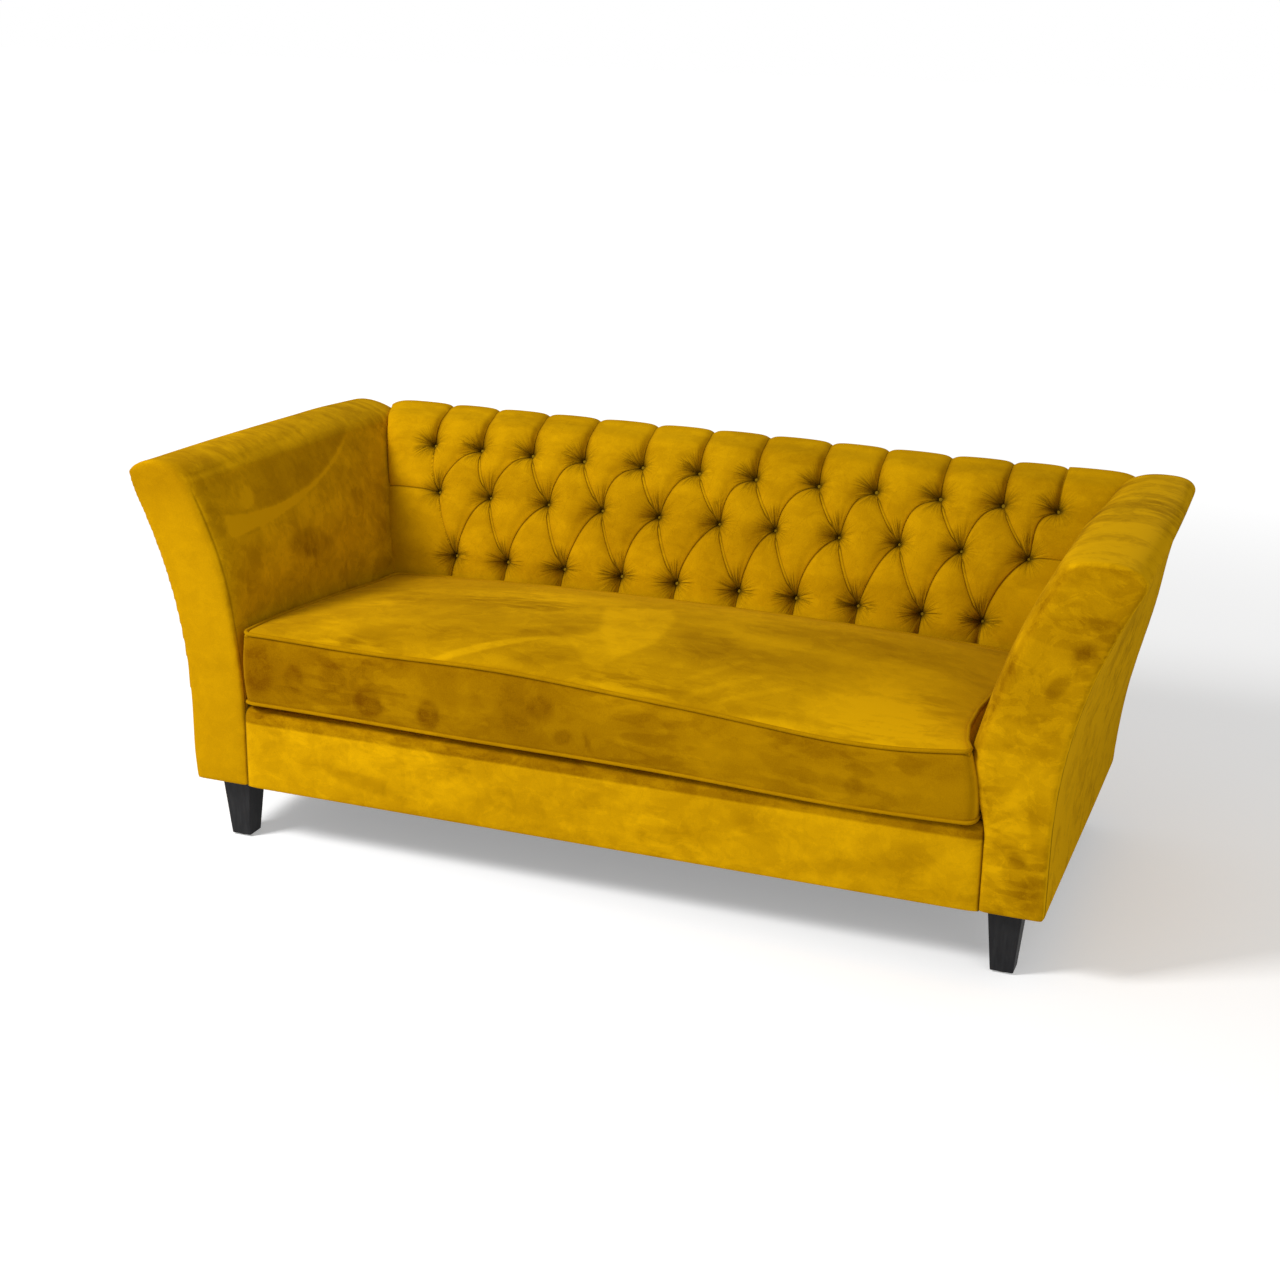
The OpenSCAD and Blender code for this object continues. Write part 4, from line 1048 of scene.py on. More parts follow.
@dataclass
class Arm:
    """One flared arm, padded all round, with seams down both edges of its front.

    ring and lengthwise count the faces round and along the plain arm, and voxel is the size of
    the faces that replace them. seam_y is the seams' depth from the front, and rear_r rounds the
    top toward the rear. hands mark the left arm's inner face by depth and height, and
    smudges the right arm's front by place across and height.
    """

    wardrobe: Wardrobe
    shape: ArmShape
    ring: int = 220
    lengthwise: int = 60
    voxel: float = 0.005
    seam_y: float = 0.010
    rear_r: float = 0.050
    hands: tuple[Touch, ...] = touches(
        (0.316, 0.545, 0.078, 0.028, -0.24, -14.0, 0.4), (0.15, 0.674, 0.03, 0.017, 0.22, 24.0),
        (0.44, 0.59, 0.085, 0.035, 0.1, 20.0, 0.5), (0.51, 0.5, 0.11, 0.07, 0.12, 35.0, 0.6),
        (0.2, 0.56, 0.06, 0.05, 0.08, 60.0, 0.6), (0.07, 0.45, 0.05, 0.012, 0.1, 10.0),
    )
    smudges: tuple[Touch, ...] = touches(
        (0.085, 0.61, 0.022, 0.03, -0.2, 30.0, 0.4), (0.06, 0.56, 0.016, 0.022, -0.18, -20.0, 0.3),
        (0.045, 0.5, 0.03, 0.01, -0.14, 10.0, 0.4), (0.08, 0.45, 0.02, 0.04, -0.1, 15.0, 0.6),
        (0.06, 0.38, 0.014, 0.05, 0.12, -28.0, 0.5), (0.088, 0.33, 0.018, 0.03, -0.16, 0.0, 0.5),
        (0.06, 0.24, 0.016, 0.014, -0.2, 0.0, 0.4), (0.03, 0.19, 0.014, 0.03, 0.12, 10.0, 0.5),
        (0.085, 0.17, 0.02, 0.03, -0.14, 20.0, 0.5),
    )

    def outline(self, count: int) -> Array:
        """Front view of the arm, from the inner foot over the crown to the outer foot.

        Args:
            count: number of points, evenly spaced.

        Returns:
            Rows of x and z for the right-hand arm.
        """
        f = FORM
        z1 = f.arm_h - f.arm_crown
        x0 = f.half + float(f.flare(z1))
        up = np.linspace(f.body_z, z1, 90)
        inner = np.column_stack([f.half + f.flare(up), up])
        outer = np.column_stack([f.half + f.arm_t + f.flare(up[::-1]), up[::-1]])
        u = (1 - np.cos(np.linspace(0, math.pi, 60)[1:-1])) / 2
        top = np.column_stack([x0 + f.arm_t * u,
                               z1 + f.arm_crown * np.sqrt(1 - np.abs(2 * u - 1) ** self.shape.crown_power)])
        return evenly(np.vstack([inner, top, outer]), count)

    def reshape(self, where: Array, normal: Array) -> Array:
        """Swells, widens and lowers the plain arm.

        Args:
            where: rows of places on the plain arm.
            normal: rows of outward directions there.

        Returns:
            The new places.
        """
        f, shape = FORM, self.shape
        x = where[:, 0] * shape.side
        y = where[:, 1] - f.front
        z = where[:, 2]
        across = np.clip((x - f.half - f.flare(z)) / f.arm_t, 0.0, 1.0)
        high = ease(z, shape.swell_from, shape.swell_from + shape.span)
        behind = soft(y, 0.020) * (1 - 0.6 * ease(y, 0.40, 0.72))
        inward = (shape.front_swell + (shape.swell - shape.front_swell) * behind) * high
        inward = inward + shape.low_swell * bell(z, 0.39, 0.07)
        inward = inward + shape.nook * ease(y, 0.46, 0.62) * ease(z, 0.33, 0.39) * (1 - ease(z, 0.40, 0.62))
        outward = shape.belly * bell(z, 0.46, 0.20) * ease(y, 0.0, 0.65)
        outward = outward + shape.widen * ease(z, 0.10, 0.20) * (1 - ease(z, 0.70, 0.76))
        outward = outward + shape.rear_swell * ease(y, 0.56, 0.72) * ease(z, 0.56, 0.72)
        r = self.rear_r
        into = np.clip(y - (f.rear(z) - r), 0.0, r)
        corner = r - np.sqrt(np.maximum(r * r - into * into, 0.0))
        drop = shape.lower + 0.018 * y + shape.sink * y * y + corner
        new_z = z - drop * ease(z, 0.42, 0.74)
        lean_in = f.flare(new_z) - f.flare(z)
        new_x = x + lean_in - inward * (1 - across) + outward * across
        puff = 0.004 * ease(-normal[:, 1], 0.6, 1.0) * np.sin(math.pi * across)
        return np.column_stack([new_x * shape.side, where[:, 1] - puff * ease(z, 0.13, 0.2), new_z])

    def marks(self, where: Array, normal: Array) -> Array:
        """How hands have turned the pile on the arm's inner face, crown and front, with light and shade
        painted by the way each face is turned.

        Args:
            where: rows of places on the finished arm.
            normal: rows of outward directions there.

        Returns:
            The change of the pile at each point.
        """
        x, y, z = where[:, 0] * self.shape.side, where[:, 1] - FORM.front, where[:, 2]
        inside = ease(-normal[:, 0] * self.shape.side, 0.45, 0.75)
        ahead = ease(-normal[:, 1], 0.45, 0.8)
        above = ease(normal[:, 2], 0.35, 0.8)
        if self.shape.side > 0:
            outside = ease(normal[:, 0], 0.5, 0.8)
            front = 1.5 * pressed(self.smudges, x - FORM.half - FORM.flare(z), z)
            front = front - 0.14 * ease(z, 0.50, 0.62) - 0.14
            # Painted light on the right arm's crown and outer side and painted shade on its inner side; its
            # front is darker, more so higher up, and smudges turn the pile there lighter or darker
            return 0.28 * above + 0.32 * outside + front * ahead - 0.28 * inside
        upper = 0.640 + 0.55 * (y - 0.25) ** 2
        lower = np.minimum(0.618 + 0.42 * (y - 0.14) ** 2, upper - 0.005)
        band = ease(z, lower - 0.004, lower + 0.004) * (1 - ease(z, upper - 0.004, upper + 0.004))
        band = band * ease(y, 0.045, 0.075) * (1 - ease(y, 0.56, 0.62))
        # The left arm's inner face is painted lighter throughout, as painted light on a face the lamps leave
        # in shade; it is darker above the sweep's band and low down, and the band and the hands turn its pile
        # lighter or darker
        total = 0.17 - 0.20 * ease(z, upper, upper + 0.01) * (1 - ease(z, 0.715, 0.735)) * ease(y, 0.10, 0.2)
        total = total + 0.62 * band + 1.5 * pressed(self.hands, y, z) - 0.10 * (1 - ease(z, 0.46, 0.60))
        # The front is darker higher up, and the crown is painted a little lighter as painted light
        face = 0.06 - 0.20 * ease(z, 0.60, 0.72)
        return inside * total + face * ahead + 0.02 * above

    def calm(self, where: Array, normal: Array) -> Array:
        """How even the pile is: on the front, and above the hollow of a hand's sweep inside."""
        y, z = where[:, 1] - FORM.front, where[:, 2]
        inside = ease(-normal[:, 0] * self.shape.side, 0.45, 0.75)
        hollow = 0.600 + 0.42 * (y - 0.14) ** 2
        swept = ease(z, hollow, hollow + 0.020) * ease(y, 0.16, 0.26)
        return 0.65 * ease(-normal[:, 1], 0.5, 0.8) + 0.40 * inside * swept

    def seam(self, where: Array) -> Array:
        """Distance from the seams down the front's edges, and their strength, in a triple."""
        y = where[:, 1] - FORM.front
        x = where[:, 0] * self.shape.side
        across = (x - FORM.half - FORM.flare(where[:, 2])) / FORM.arm_t
        edge = ease(np.abs(across - 0.5), 0.40, 0.46)
        low = 1 - ease(where[:, 2], 0.70, 0.735)
        low = low * np.where(across < 0.5, self.shape.inner_seam, 1.0)
        return line_field(y - self.seam_y, edge * low)

    def build(self) -> None:
        """Builds and dresses the arm."""
        ring = self.outline(self.ring)
        name = self.shape.name

        def place(u: Array, v: Array) -> Triple:
            """Runs the outline back along the arm."""
            x, z = around(ring, u)
            return self.shape.side * x, FORM.rear(z) * v + FORM.front, z

        piece = grid_piece(f"{name}_arm_padding", self.ring, self.lengthwise, place)
        soften(piece, self.voxel, rounds=8)
        add_field(piece, "seam", self.seam(points_of(piece)))
        set_points(piece, self.reshape(points_of(piece), normals_of(piece)))
        where, normal = points_of(piece), normals_of(piece)
        add_field(piece, "mark", self.marks(where, normal))
        if self.shape.side < 0:
            add_field(piece, "calm", self.calm(where, normal))
        cloth = Velvet(f"velvet_{name}_arm", scale=1.1, bias=self.shape.bias, contrast=self.shape.contrast,
                       ruffled=0.25)
        self.wardrobe.dress(piece, cloth, Body.SOFA, Slot.VELVET, f"{name}_arm_cover", f"{name}_arm_front",
                            fill=0.8)


# ---- seat ----


@dataclass
class SeatCushion:
    """The loose bench cushion with its piping.

    half_x, y0, y1, z0 and z1 bound the plain box, corner rounds its plan, and crown is its rise in
    the middle. squeeze gives how far the right arm pushes the end in, by depth. The welts lie
    welt_in inside the seams. prints mark the front boxing by place across and height, and sweeps
    the top by place across and depth.
    """

    wardrobe: Wardrobe
    half_x: float = 0.716
    y0: float = -0.008
    y1: float = 0.598
    z0: float = 0.303
    z1: float = 0.449
    corner: float = 0.020
    crown: float = 0.034
    pipe_r: float = 0.004
    welt_in: float = 0.001
    welt_points: int = 700
    ring: int = 300
    levels: int = 20
    voxel: float = 0.006
    squeeze: tuple[tuple[float, float], ...] = (
        (-0.01, 0.013), (0.04, 0.032), (0.12, 0.046), (0.22, 0.050), (0.34, 0.044), (0.52, 0.036),
        (0.60, 0.020))
    prints: tuple[Touch, ...] = touches(
        (-0.687, 0.383, 0.033, 0.05, -0.15, 0.0, 0.35), (-0.607, 0.377, 0.021, 0.026, -0.17, 0.0, 0.3),
        (-0.522, 0.389, 0.027, 0.03, -0.17, 0.0, 0.3), (-0.447, 0.349, 0.031, 0.03, -0.19, 0.0, 0.18),
        (-0.321, 0.344, 0.023, 0.03, -0.22, 0.0, 0.18), (-0.25, 0.395, 0.016, 0.055, 0.07, 6.0, 0.6),
        (-0.146, 0.38, 0.038, 0.05, -0.15, 0.0, 0.5), (-0.092, 0.388, 0.025, 0.025, -0.15, 0.0, 0.3),
        (-0.05, 0.34, 0.02, 0.014, -0.2, 30.0, 0.3), (0.0, 0.335, 0.006, 0.022, -0.18, 20.0, 0.3),
        (0.12, 0.39, 0.06, 0.03, -0.1, 0.0, 0.6), (0.23, 0.35, 0.04, 0.03, 0.08, 0.0, 0.6),
        (0.46, 0.391, 0.11, 0.026, -0.16, -6.0, 0.6), (0.501, 0.332, 0.018, 0.016, -0.16, 0.0, 0.3),
        (0.64, 0.385, 0.05, 0.022, -0.12, 0.0, 0.5), (-0.56, 0.33, 0.09, 0.012, 0.08, -3.0, 0.6),
    )
    sweeps: tuple[Touch | Patch, ...] = (
        Patch(((-0.126, 0.387), (-0.003, 0.441), (0.033, 0.364), (0.048, 0.204), (0.006, 0.091),
               (-0.069, 0.218)), 0.17),
        Patch(((-0.069, 0.218), (0.006, 0.091), (-0.020, 0.040), (-0.110, 0.150)), 0.08),
        Patch(((-0.330, 0.300), (-0.150, 0.390), (-0.120, 0.330), (-0.260, 0.230)), 0.07, 0.02),
        *touches(
            (0.49, 0.09, 0.11, 0.07, 0.16, 10.0, 0.6), (0.62, 0.04, 0.11, 0.05, 0.12, 0.0, 0.7),
            (0.29, 0.23, 0.15, 0.075, -0.11, 22.0, 0.6), (0.13, 0.27, 0.06, 0.08, -0.14, 10.0, 0.5),
            (0.14, 0.0, 0.12, 0.04, -0.14, -12.0, 0.5), (0.39, 0.41, 0.2, 0.06, -0.14, 5.0, 0.6),
            (0.23, 0.09, 0.01, 0.08, 0.08, -38.0, 0.5), (0.28, 0.07, 0.009, 0.07, 0.08, -46.0, 0.5),
            (0.19, 0.13, 0.009, 0.06, 0.07, -30.0, 0.5), (0.33, -0.01, 0.09, 0.02, 0.16, 12.0, 0.4),
            (-0.42, 0.08, 0.17, 0.05, -0.12, 20.0, 0.5), (-0.48, 0.24, 0.15, 0.06, 0.05, 18.0, 0.5),
            (-0.56, 0.06, 0.05, 0.06, 0.12, 0.0, 0.5), (-0.25, 0.43, 0.19, 0.045, 0.1, 8.0, 0.5),
            (-0.3, 0.33, 0.17, 0.04, -0.1, 12.0, 0.5), (-0.24, 0.06, 0.11, 0.014, 0.2, 42.0, 0.35),
            (-0.16, 0.17, 0.07, 0.03, -0.12, 36.0, 0.4), (-0.12, 0.05, 0.06, 0.026, -0.1, 20.0, 0.4),
        ),
    )

    def sunk(self, u: Array, v: Array) -> Array:
        """How far the top seam has sunk at u (-1 left to 1 right) and v (-1 front to 1 rear)."""
        rear = ease(v, -1.0, 1.0)
        front = 0.037 * bell(u, 0.66, 0.5) + 0.002 * np.sin(9.0 * u + 1.0)
        return (1 - rear) * front + rear * (0.022 + 0.018 * u * u)

    def warp(self, where: Array) -> Array:
        """Moves points of the plain box to the shape and place of a used cushion.

        Args:
            where: rows of x, y and z in the plain box.

        Returns:
            The moved points.
        """
        x, y, z = where.T
        level = np.clip((z - self.z0) / (self.z1 - self.z0), 0.0, 1.0)
        u = np.clip(x / self.half_x, -1, 1)
        v = np.clip((y - (self.y0 + self.y1) / 2) / ((self.y1 - self.y0) / 2), -1, 1)
        swell = ((1 - np.abs(u) ** 3) * (1 - np.abs(v) ** 2.6)) ** 0.8
        top = self.z1 - self.sunk(u, v) + self.crown * swell
        droop = 0.013 * bell(u, 0.72, 0.42) - 0.005 * ease(-u, 0.2, 0.9)
        low = self.z0 - droop * (1 - ease(y, self.y0, self.y0 + 0.03))
        belly = np.sin(math.pi * level)
        front = -0.006 * belly * ease(-v, 0.8, 1.0)
        pull = np.interp(y, *np.transpose(self.squeeze)) * ease(u, 0.80, 1.0)
        pull = pull * level ** (2.0 - ease(y, 0.0, 0.08))
        push = 0.008 * ease(-u, 0.9, 1.0) * (1 - ease(z, 0.44, 0.46))
        push = push - 0.018 * ease(-u, 0.8, 1.0) * ease(y, 0.34, 0.60)
        out = np.sign(x) * 0.003 * belly * ease(np.abs(u), 0.9, 1.0)
        return np.column_stack([x - pull - push + out, y + front + FORM.front, low + (top - low) * level])

    def marks(self, where: Array, normal: Array) -> Array:
        """How use has turned the pile on the boxing and the top.

        Args:
            where: rows of places on the finished cushion.
            normal: rows of outward directions there.

        Returns:
            The change of the pile at each point.
        """
        x, y, z = where[:, 0], where[:, 1] - FORM.front, where[:, 2]
        ahead = ease(-normal[:, 1], 0.5, 0.8)
        above = ease(normal[:, 2], 0.5, 0.8)
        boxing = -0.50 + 0.14 * ease(x, -0.30, 0.35) + pressed(self.prints, x, z)
        return ahead * boxing + above * 1.9 * pressed(self.sweeps, x, y)

    def outline(self, count: int, inset: float = 0.0) -> Array:
        """Plan of the cushion as a ring of evenly spaced points."""
        hx = self.half_x - inset
        y0, y1 = self.y0 + inset, self.y1 - inset
        c = self.corner - inset
        path = []
        for cx, cy, start in ((hx - c, y0 + c, -90), (hx - c, y1 - c, 0), (-hx + c, y1 - c, 90),
                              (-hx + c, y0 + c, 180)):
            for a in np.radians(np.linspace(start, start + 90, 12)):
                path.append((cx + c * math.cos(a), cy + c * math.sin(a)))
        return evenly(np.array(path + path[:1]), count + 1)[:-1]

    def build(self) -> None:
        """Builds and dresses the cushion and its two lines of piping."""
        ring = self.outline(self.ring)

        def place(u: Array, v: Array) -> Triple:
            """Stands the outline up as the cushion's boxing."""
            x, y = around(ring, u)
            return x, y, self.z0 + (self.z1 - self.z0) * v

        piece = grid_piece("cushion_padding", self.ring, self.levels, place)
        soften(piece, self.voxel, rounds=3)
        plain = points_of(piece)
        x, y, z = plain.T
        inward = from_edge(x, self.half_x, y, self.y0, self.y1)
        under = self.z1 - z - np.maximum(inward, 0.0) - 1.3 * self.pipe_r
        set_points(piece, self.warp(plain))
        where, normal = points_of(piece), normals_of(piece)
        add_field(piece, "seam", line_field(under, 0.40))
        add_field(piece, "mark", self.marks(where, normal))
        add_field(piece, "calm", 0.35 + 0.25 * ease(-normal[:, 1], 0.5, 0.8))
        cloth = Velvet("velvet_cushion", scale=0.9, bias=0.09, ruffled=0.12, strokes=1.0)
        self.wardrobe.dress(piece, cloth, Body.CUSHION, Slot.VELVET, "cushion_cover", "cushion_core",
                            fill=0.75)
        trim = Velvet("velvet_piping", bias=-0.20, contrast=0.3)
        path = self.outline(self.welt_points, self.welt_in)
        for name, z in (("top", self.z1 - self.welt_in), ("bottom", self.z0 + self.welt_in)):
            points = self.warp(np.column_stack([path, np.full(len(path), z)]))
            cord = tube(f"cushion_{name}_welt", points, self.pipe_r)
            self.wardrobe.dress(cord, trim, Body.CUSHION, Slot.TRIM, f"{name}_piping")


@dataclass
class FrontBorder:
    """The padded border across the front of the seat.

    edge is the radius of its rolled top, foot_in how far its foot is turned in, and bulge the
    depth of its padding. smudges mark it by place across and height.
    """

    wardrobe: Wardrobe
    depth: float = 0.024
    top: float = 0.293
    edge: float = 0.022
    foot_in: float = 0.004
    bulge: float = 0.004
    clear: float = 0.0005
    cols: int = 360
    smudges: tuple[Touch, ...] = touches(
        (-0.56, 0.215, 0.05, 0.02, -0.16, 30.0, 0.4), (-0.47, 0.18, 0.08, 0.016, -0.18, -12.0, 0.4),
        (-0.3, 0.23, 0.06, 0.018, -0.14, 16.0, 0.5), (-0.16, 0.19, 0.09, 0.022, -0.16, -8.0, 0.5),
        (0.02, 0.225, 0.05, 0.016, -0.16, 24.0, 0.4), (0.17, 0.18, 0.1, 0.02, -0.16, 6.0, 0.5),
        (0.33, 0.22, 0.05, 0.022, -0.18, -20.0, 0.4), (0.47, 0.17, 0.08, 0.016, -0.16, 10.0, 0.4),
        (0.6, 0.215, 0.06, 0.02, -0.18, 18.0, 0.5),
    )

    def build(self) -> None:
        """Builds and dresses the border."""
        low, r = FORM.body_z, self.edge
        turn = np.linspace(0, math.pi / 2, 14)
        rolled = np.column_stack([r - r * np.cos(turn), self.top - r + r * np.sin(turn)])
        front = np.column_stack([np.zeros(30), np.linspace(low + self.foot_in, self.top - r, 31)[:-1]])
        foot = np.array([[self.depth, low], [self.foot_in, low], [0.001, low + 0.001]])
        ring = np.vstack([foot, front, rolled, [[self.depth, self.top]]])
        half = FORM.half - self.clear

        def place(u: Array, v: Array) -> Triple:
            """Draws the side view across the seat."""
            x = (2 * v - 1) * half
            y, z = around(ring, u)
            ends = soft(half - np.abs(x), 0.010)
            bulge = self.bulge * np.sin(math.pi * np.clip((z - low) / (self.top - low), 0, 1)) * (y < 0.012)
            return x, y - (bulge + 0.001) * ends + 0.004 * (1 - ends) + FORM.front, z

        def fields(u: Array, v: Array) -> dict[str, Array]:
            """The rolled top edge is darker than the face, partly painted shadow of the cushion's overhang
            and partly duller pile, and the ends meet the arms.
            """
            x, _, z = place(u, v)
            # Painted shadow under the cushion's overhang, on a rolled top edge of duller pile
            mark = -0.58 * ease(z, self.top - r - 0.009, self.top - r - 0.004)
            return {"mark": mark + pressed(self.smudges, x, z), "seam": line_field(half - np.abs(x), 0.8)}

        piece = grid_piece("front_border_padding", len(ring), self.cols, place, fields)
        cloth = Velvet("velvet_border", scale=1.4, bias=0.15, contrast=0.72)
        self.wardrobe.dress(piece, cloth, Body.SOFA, Slot.VELVET, "front_border", fill=0.6)


@dataclass
class OutsideBack:
    """The panel that closes the back of the sofa."""

    wardrobe: Wardrobe
    cols: int = 320
    rows: int = 90
    thick: float = 0.008
    rounding: float = 0.004
    clear: float = 0.001

    def build(self) -> None:
        """Builds and dresses the panel."""
        low, high = (corner.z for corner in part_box("outside_back"))

        def place(u: Array, v: Array) -> Triple:
            """Wraps the grid round the panel's front and rear faces."""
            rear_side, across = both_faces(u)
            z = low + (high - low) * v
            wide = FORM.half + FORM.flare(z) - self.clear
            x = across * wide
            rounded = self.rounding * (1 - soft(from_edge(x, wide, z, low, high), 0.012))
            return x, FORM.rear(z) - np.where(rear_side, rounded, self.thick) + FORM.front, z

        piece = grid_piece("outside_back_panel", self.cols, self.rows, place)
        cloth = Velvet("velvet_outside", scale=0.9, bias=0.05, contrast=0.8)
        self.wardrobe.dress(piece, cloth, Body.SOFA, Slot.VELVET, "outside_back", fill=0.3)


@dataclass
class Deck:
    """The padded deck under the loose cushion."""

    wardrobe: Wardrobe
    cols: int = 240
    rows: int = 60
    clear: float = 0.0003
    rounding: float = 0.0025

    def build(self) -> None:
        """Builds and dresses the deck."""
        low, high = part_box("seat_deck")

        def place(u: Array, v: Array) -> Triple:
            """Wraps the grid round the deck from above and below."""
            over, across = both_faces(u)
            x = across * high.x
            y = low.y + (high.y - low.y) * v
            rounded = self.rounding * (1 - soft(from_edge(x, high.x, y, low.y, high.y), 0.015))
            return x, y, np.where(over, high.z - self.clear - rounded, low.z)

        piece = grid_piece("deck_padding", self.cols, self.rows, place)
        cloth = Velvet("velvet_deck", bias=-0.1, contrast=0.6)
        self.wardrobe.dress(piece, cloth, Body.SOFA, Slot.VELVET, "seat_deck", fill=0.5)


CAMBRIC = Grained("black_cambric", (0.030, 0.030, 0.030), (0.012, 0.012, 0.012), (500.0, 500.0, 500.0), 0.95)
STAPLE = Grained("staple_wire", (0.50, 0.51, 0.52), (0.34, 0.35, 0.36), (90.0, 90.0, 90.0), 0.4,
                 bump=0.0001, metallic=1.0)


@dataclass
class DustCover:
    """The cambric sheet stretched and stapled under the seat.

    staple is the size of a staple's crown, every the step between two, inset how far they stand
    in from the sheet's edge, below how far under its middle they lie, and sag how far it hangs.
    """

    wardrobe: Wardrobe
    cols: int = 56
    rows: int = 28
    staple: Vec = (0.012, 0.0012, 0.0012)
    every: float = 0.06
    inset: float = 0.008
    below: float = 0.0008
    sag: float = 0.0015

    def build(self) -> None:
        """Builds and dresses the sheet and its staples."""
        low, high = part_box("dust_cover")
        wide, deep = high.x - low.x, high.y - low.y
        middle = Vector(((low.x + high.x) / 2, (low.y + high.y) / 2, (low.z + high.z) / 2))
        bm = bmesh.new()
        bmesh.ops.create_grid(bm, x_segments=self.cols, y_segments=self.rows, size=0.5)
        for vert in bm.verts:
            ripple = math.sin(9.0 * vert.co.x) * math.sin(6.0 * vert.co.y)
            free = (1 - (2 * vert.co.x) ** 2) * (1 - (2 * vert.co.y) ** 2)
            down = self.sag * free * (1 + 0.3 * ripple)
            vert.co = middle + Vector((vert.co.x * wide, vert.co.y * deep, -down))
        cloth = mesh_piece("dust_cover_cloth", bm)
        self.wardrobe.dress(cloth, CAMBRIC, Body.SOFA, Slot.CAMBRIC, "dust_cover")
        staples = self.staples(middle, wide - 2 * self.inset, deep - 2 * self.inset)

    def staples(self, middle: Vector, wide: float, deep: float) -> Object:
        """Drives a staple at about each step round the sheet's edge.

        Args:
            middle: the middle of the sheet.
            wide: width of the ring of staples.
            deep: depth of the ring of staples.

        Returns:
            The staples, as one piece.
        """
        bm = bmesh.new()
        for along, across, turn in ((wide, deep, 0.0), (deep, wide, math.pi / 2)):
            count = round(along / self.every)
            for k in range(count):
                for side in (-1, 1):
                    spot = Vector((along * ((k + 0.5) / count - 0.5), side * across / 2, 0.0))
                    crown = bmesh.ops.create_cube(bm, size=1.0)["verts"]
                    bmesh.ops.scale(bm, vec=self.staple, verts=crown)
                    bmesh.ops.translate(bm, vec=spot, verts=crown)
                    bmesh.ops.rotate(bm, verts=crown, cent=(0, 0, 0), matrix=Matrix.Rotation(turn, 3, "Z"))
                    bmesh.ops.translate(bm, vec=middle - Vector((0.0, 0.0, self.below)), verts=crown)
        made = mesh_piece("dust_cover_staples", bm, smooth=False)
        return self.wardrobe.dress(made, STAPLE, Body.SOFA, Slot.STEEL)


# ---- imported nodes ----


PACKED = {
    Grained("raw_timber", (0.62, 0.42, 0.22), (0.42, 0.26, 0.12), (3.0, 30.0, 30.0), 0.7): (
        "front_seat_rail", "rear_seat_rail", "left_seat_rail", "right_seat_rail", "seat_braces",
        "corner_blocks", "left_arm_frame", "right_arm_frame", "back_frame"),
    Grained("hardboard", (0.30, 0.19, 0.10), (0.22, 0.13, 0.06), (90.0, 90.0, 90.0), 0.8): (
        "left_arm_boards", "right_arm_boards"),
    Grained("black_stain", (0.014, 0.014, 0.015), (0.004, 0.004, 0.005), (120.0, 120.0, 16.0), 0.60,
            bump=0.0002, specular=0.22): (
        "front_left_leg", "front_right_leg", "rear_left_leg", "rear_right_leg"),
    Grained("zinc_plate", (0.62, 0.63, 0.64), (0.48, 0.49, 0.50), (60.0, 60.0, 60.0), 0.35,
            bump=0.0001, metallic=1.0): (
        "seat_springs", "spring_clips", "cross_wires", "leg_plates", "leg_bolts", "arm_bolts",
        "zip_slider"),
    Grained("jute_web", (0.50, 0.38, 0.20), (0.33, 0.24, 0.12), (300.0, 300.0, 300.0), 0.9): (
        "back_webbing",),
    Grained("glide_plastic", (0.30, 0.27, 0.22), (0.24, 0.21, 0.17), (80.0, 80.0, 80.0), 0.6): (
        "foot_glides",),
    Grained("zip_tape", (0.36, 0.21, 0.01), (0.20, 0.11, 0.005), (700.0, 700.0, 700.0), 0.8): (
        "zip_chain",),
}


@dataclass
class Framework:
    """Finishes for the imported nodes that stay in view."""

    wardrobe: Wardrobe

    def build(self) -> None:
        """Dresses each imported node."""
        for finish, nodes in PACKED.items():
            for node in nodes:
                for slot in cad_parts[node].material_slots:
                    slot.material = self.wardrobe.material(finish)


# ---- studio ----


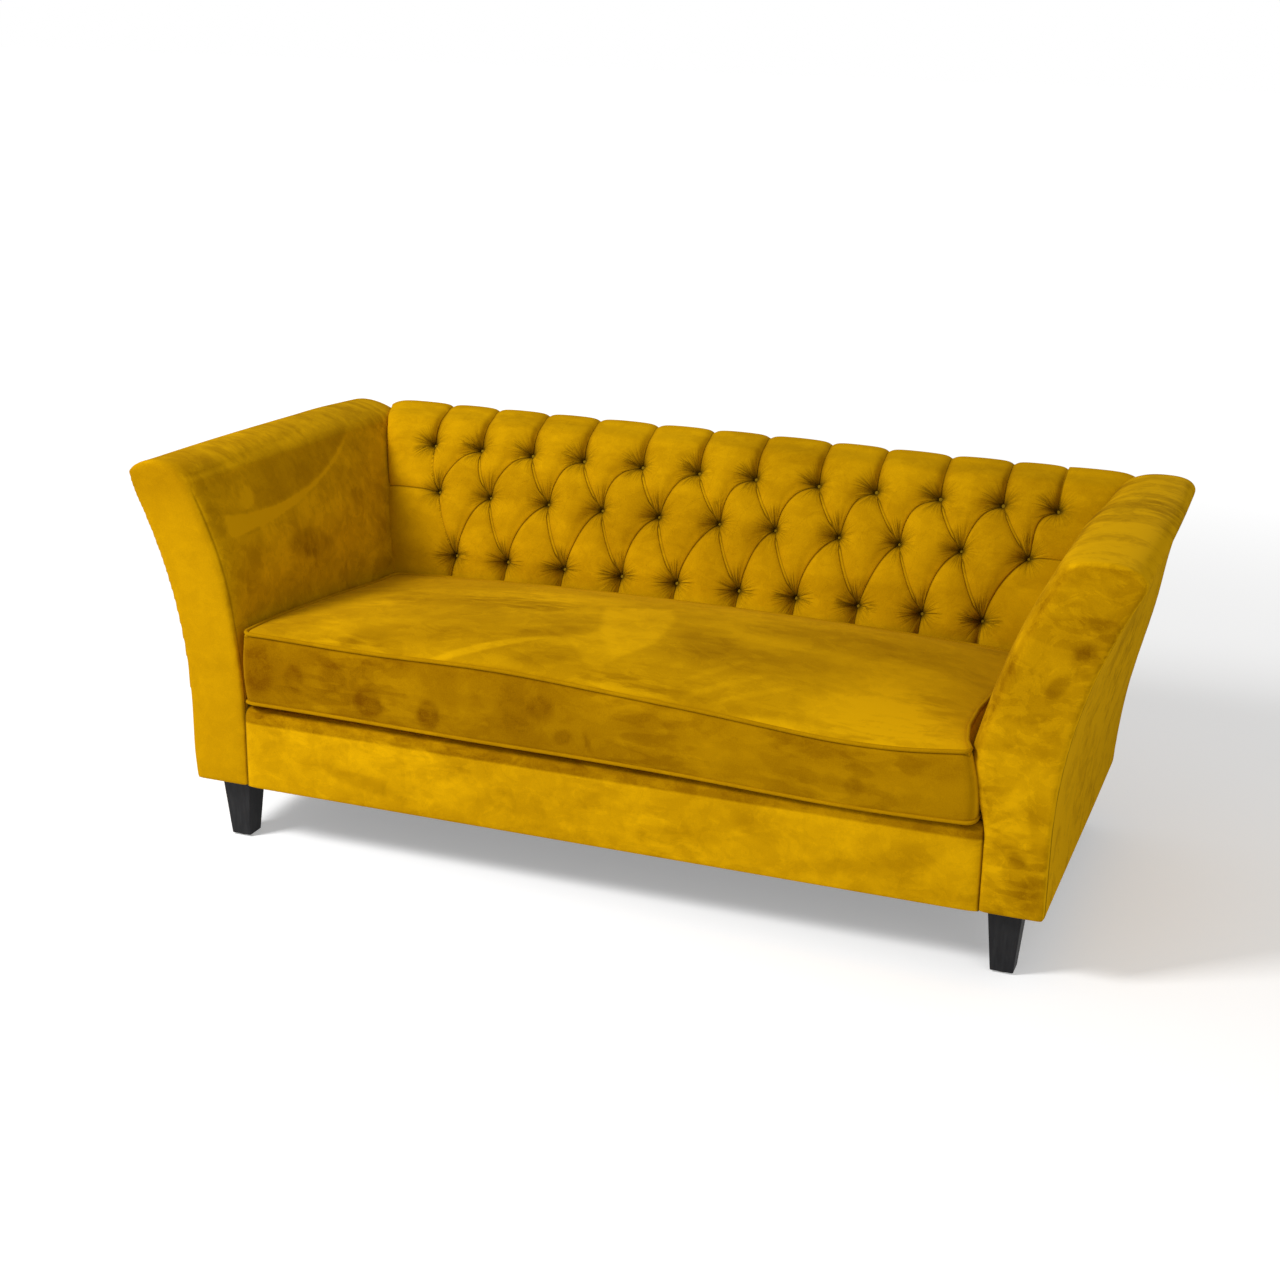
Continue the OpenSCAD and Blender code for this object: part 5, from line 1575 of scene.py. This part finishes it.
@dataclass
class Studio:
    """Floor, light and camera; camera_at counts its depth from the arms' front, and aim is lit."""

    camera_at: Vec = (1.2853, -3.2066, 1.679)
    yaw: float = 0.3558
    pitch: float = 0.3206
    roll: float = 0.018
    lens: float = 56.98
    sensor: float = 36.0
    aim: Vec = (0.0, 0.0, 0.4)
    floor_half: float = 30.0

    def camera(self) -> None:
        """Sets the camera at the standing viewer's eye."""
        data = bpy.data.cameras.new("camera")
        data.lens = self.lens
        data.sensor_width = self.sensor
        data.clip_end = 60.0
        made = link("camera", data)
        ahead = Vector((-math.sin(self.yaw) * math.cos(self.pitch),
                        math.cos(self.yaw) * math.cos(self.pitch), -math.sin(self.pitch)))
        right = Vector((math.cos(self.yaw), math.sin(self.yaw), 0.0))
        up = right.cross(ahead)
        level = math.cos(self.roll) * right + math.sin(self.roll) * up
        top = -math.sin(self.roll) * right + math.cos(self.roll) * up
        x, y, z = self.camera_at
        made.matrix_world = Matrix((
            (level.x, top.x, -ahead.x, x), (level.y, top.y, -ahead.y, y + FORM.front),
            (level.z, top.z, -ahead.z, z), (0.0, 0.0, 0.0, 1.0)))
        bpy.context.scene.camera = made

    def lamp(self, name: str, at: Vec, size: float, power: float) -> None:
        """Adds one soft square lamp that faces the sofa.

        Args:
            name: the lamp's name.
            at: its place.
            size: the length of its side.
            power: its power in watts.
        """
        data = bpy.data.lights.new(name, "AREA")
        data.shape = "SQUARE"
        data.size = size
        data.energy = power
        made = link(name, data)
        made.location = at
        made.rotation_euler = (Vector(self.aim) - Vector(at)).to_track_quat("-Z", "Y").to_euler()

    def floor(self) -> None:
        """A white floor that keeps the sofa's shadow."""
        bm = bmesh.new()
        bmesh.ops.create_grid(bm, x_segments=1, y_segments=1, size=self.floor_half)
        made = mesh_piece("floor", bm, smooth=False)
        material, tree, shader = principled("floor_white")
        away = tree.node("VectorMath", {0: tree.place()}, operation="LENGTH").outputs["Value"]
        far = tree.math("MULTIPLY_ADD", tree.ramp(away, 1.4, 5.0), 0.42, 0.30)
        tree.feed(shader, {"Base Color": (0.85, 0.85, 0.85, 1.0), "Roughness": 0.9,
                           "Specular IOR Level": 0.0, "Emission Color": WHITE,
                           "Emission Strength": tree.math("MULTIPLY", tree.seen(), far)})
        made.data.materials.append(material)

    def world(self) -> None:
        """An even room light that shows white to the camera."""
        made = bpy.data.worlds.new("room")
        bpy.context.scene.world = made
        made.use_nodes = True
        tree = Tree(made.node_tree)
        level = tree.math("MULTIPLY_ADD", tree.seen(), 0.58, 0.42)
        tree.feed(made.node_tree.nodes["Background"], {"Color": WHITE, "Strength": level})

    def build(self) -> None:
        """Sets the whole studio."""
        self.camera()
        self.floor()
        self.world()
        self.lamp("key", (-2.4, -2.6, 3.0), 1.0, 160.0)
        self.lamp("fill", (2.8, -2.6, 2.2), 2.4, 20.0)
        bpy.context.scene.view_settings.view_transform = "Standard"


def main() -> None:
    """Builds the sofa's covers round its frame, then the studio."""
    logging.basicConfig(level=logging.INFO, format="%(name)s: %(message)s")
    wardrobe = Wardrobe()
    Framework(wardrobe).build()
    Deck(wardrobe).build()
    FrontBorder(wardrobe).build()
    for shape in ARMS:
        Arm(wardrobe, shape).build()
    OutsideBack(wardrobe).build()
    TuftedBack(wardrobe).build()
    SeatCushion(wardrobe).build()
    DustCover(wardrobe).build()
    Studio().build()


if __name__ == "__main__":
    main()
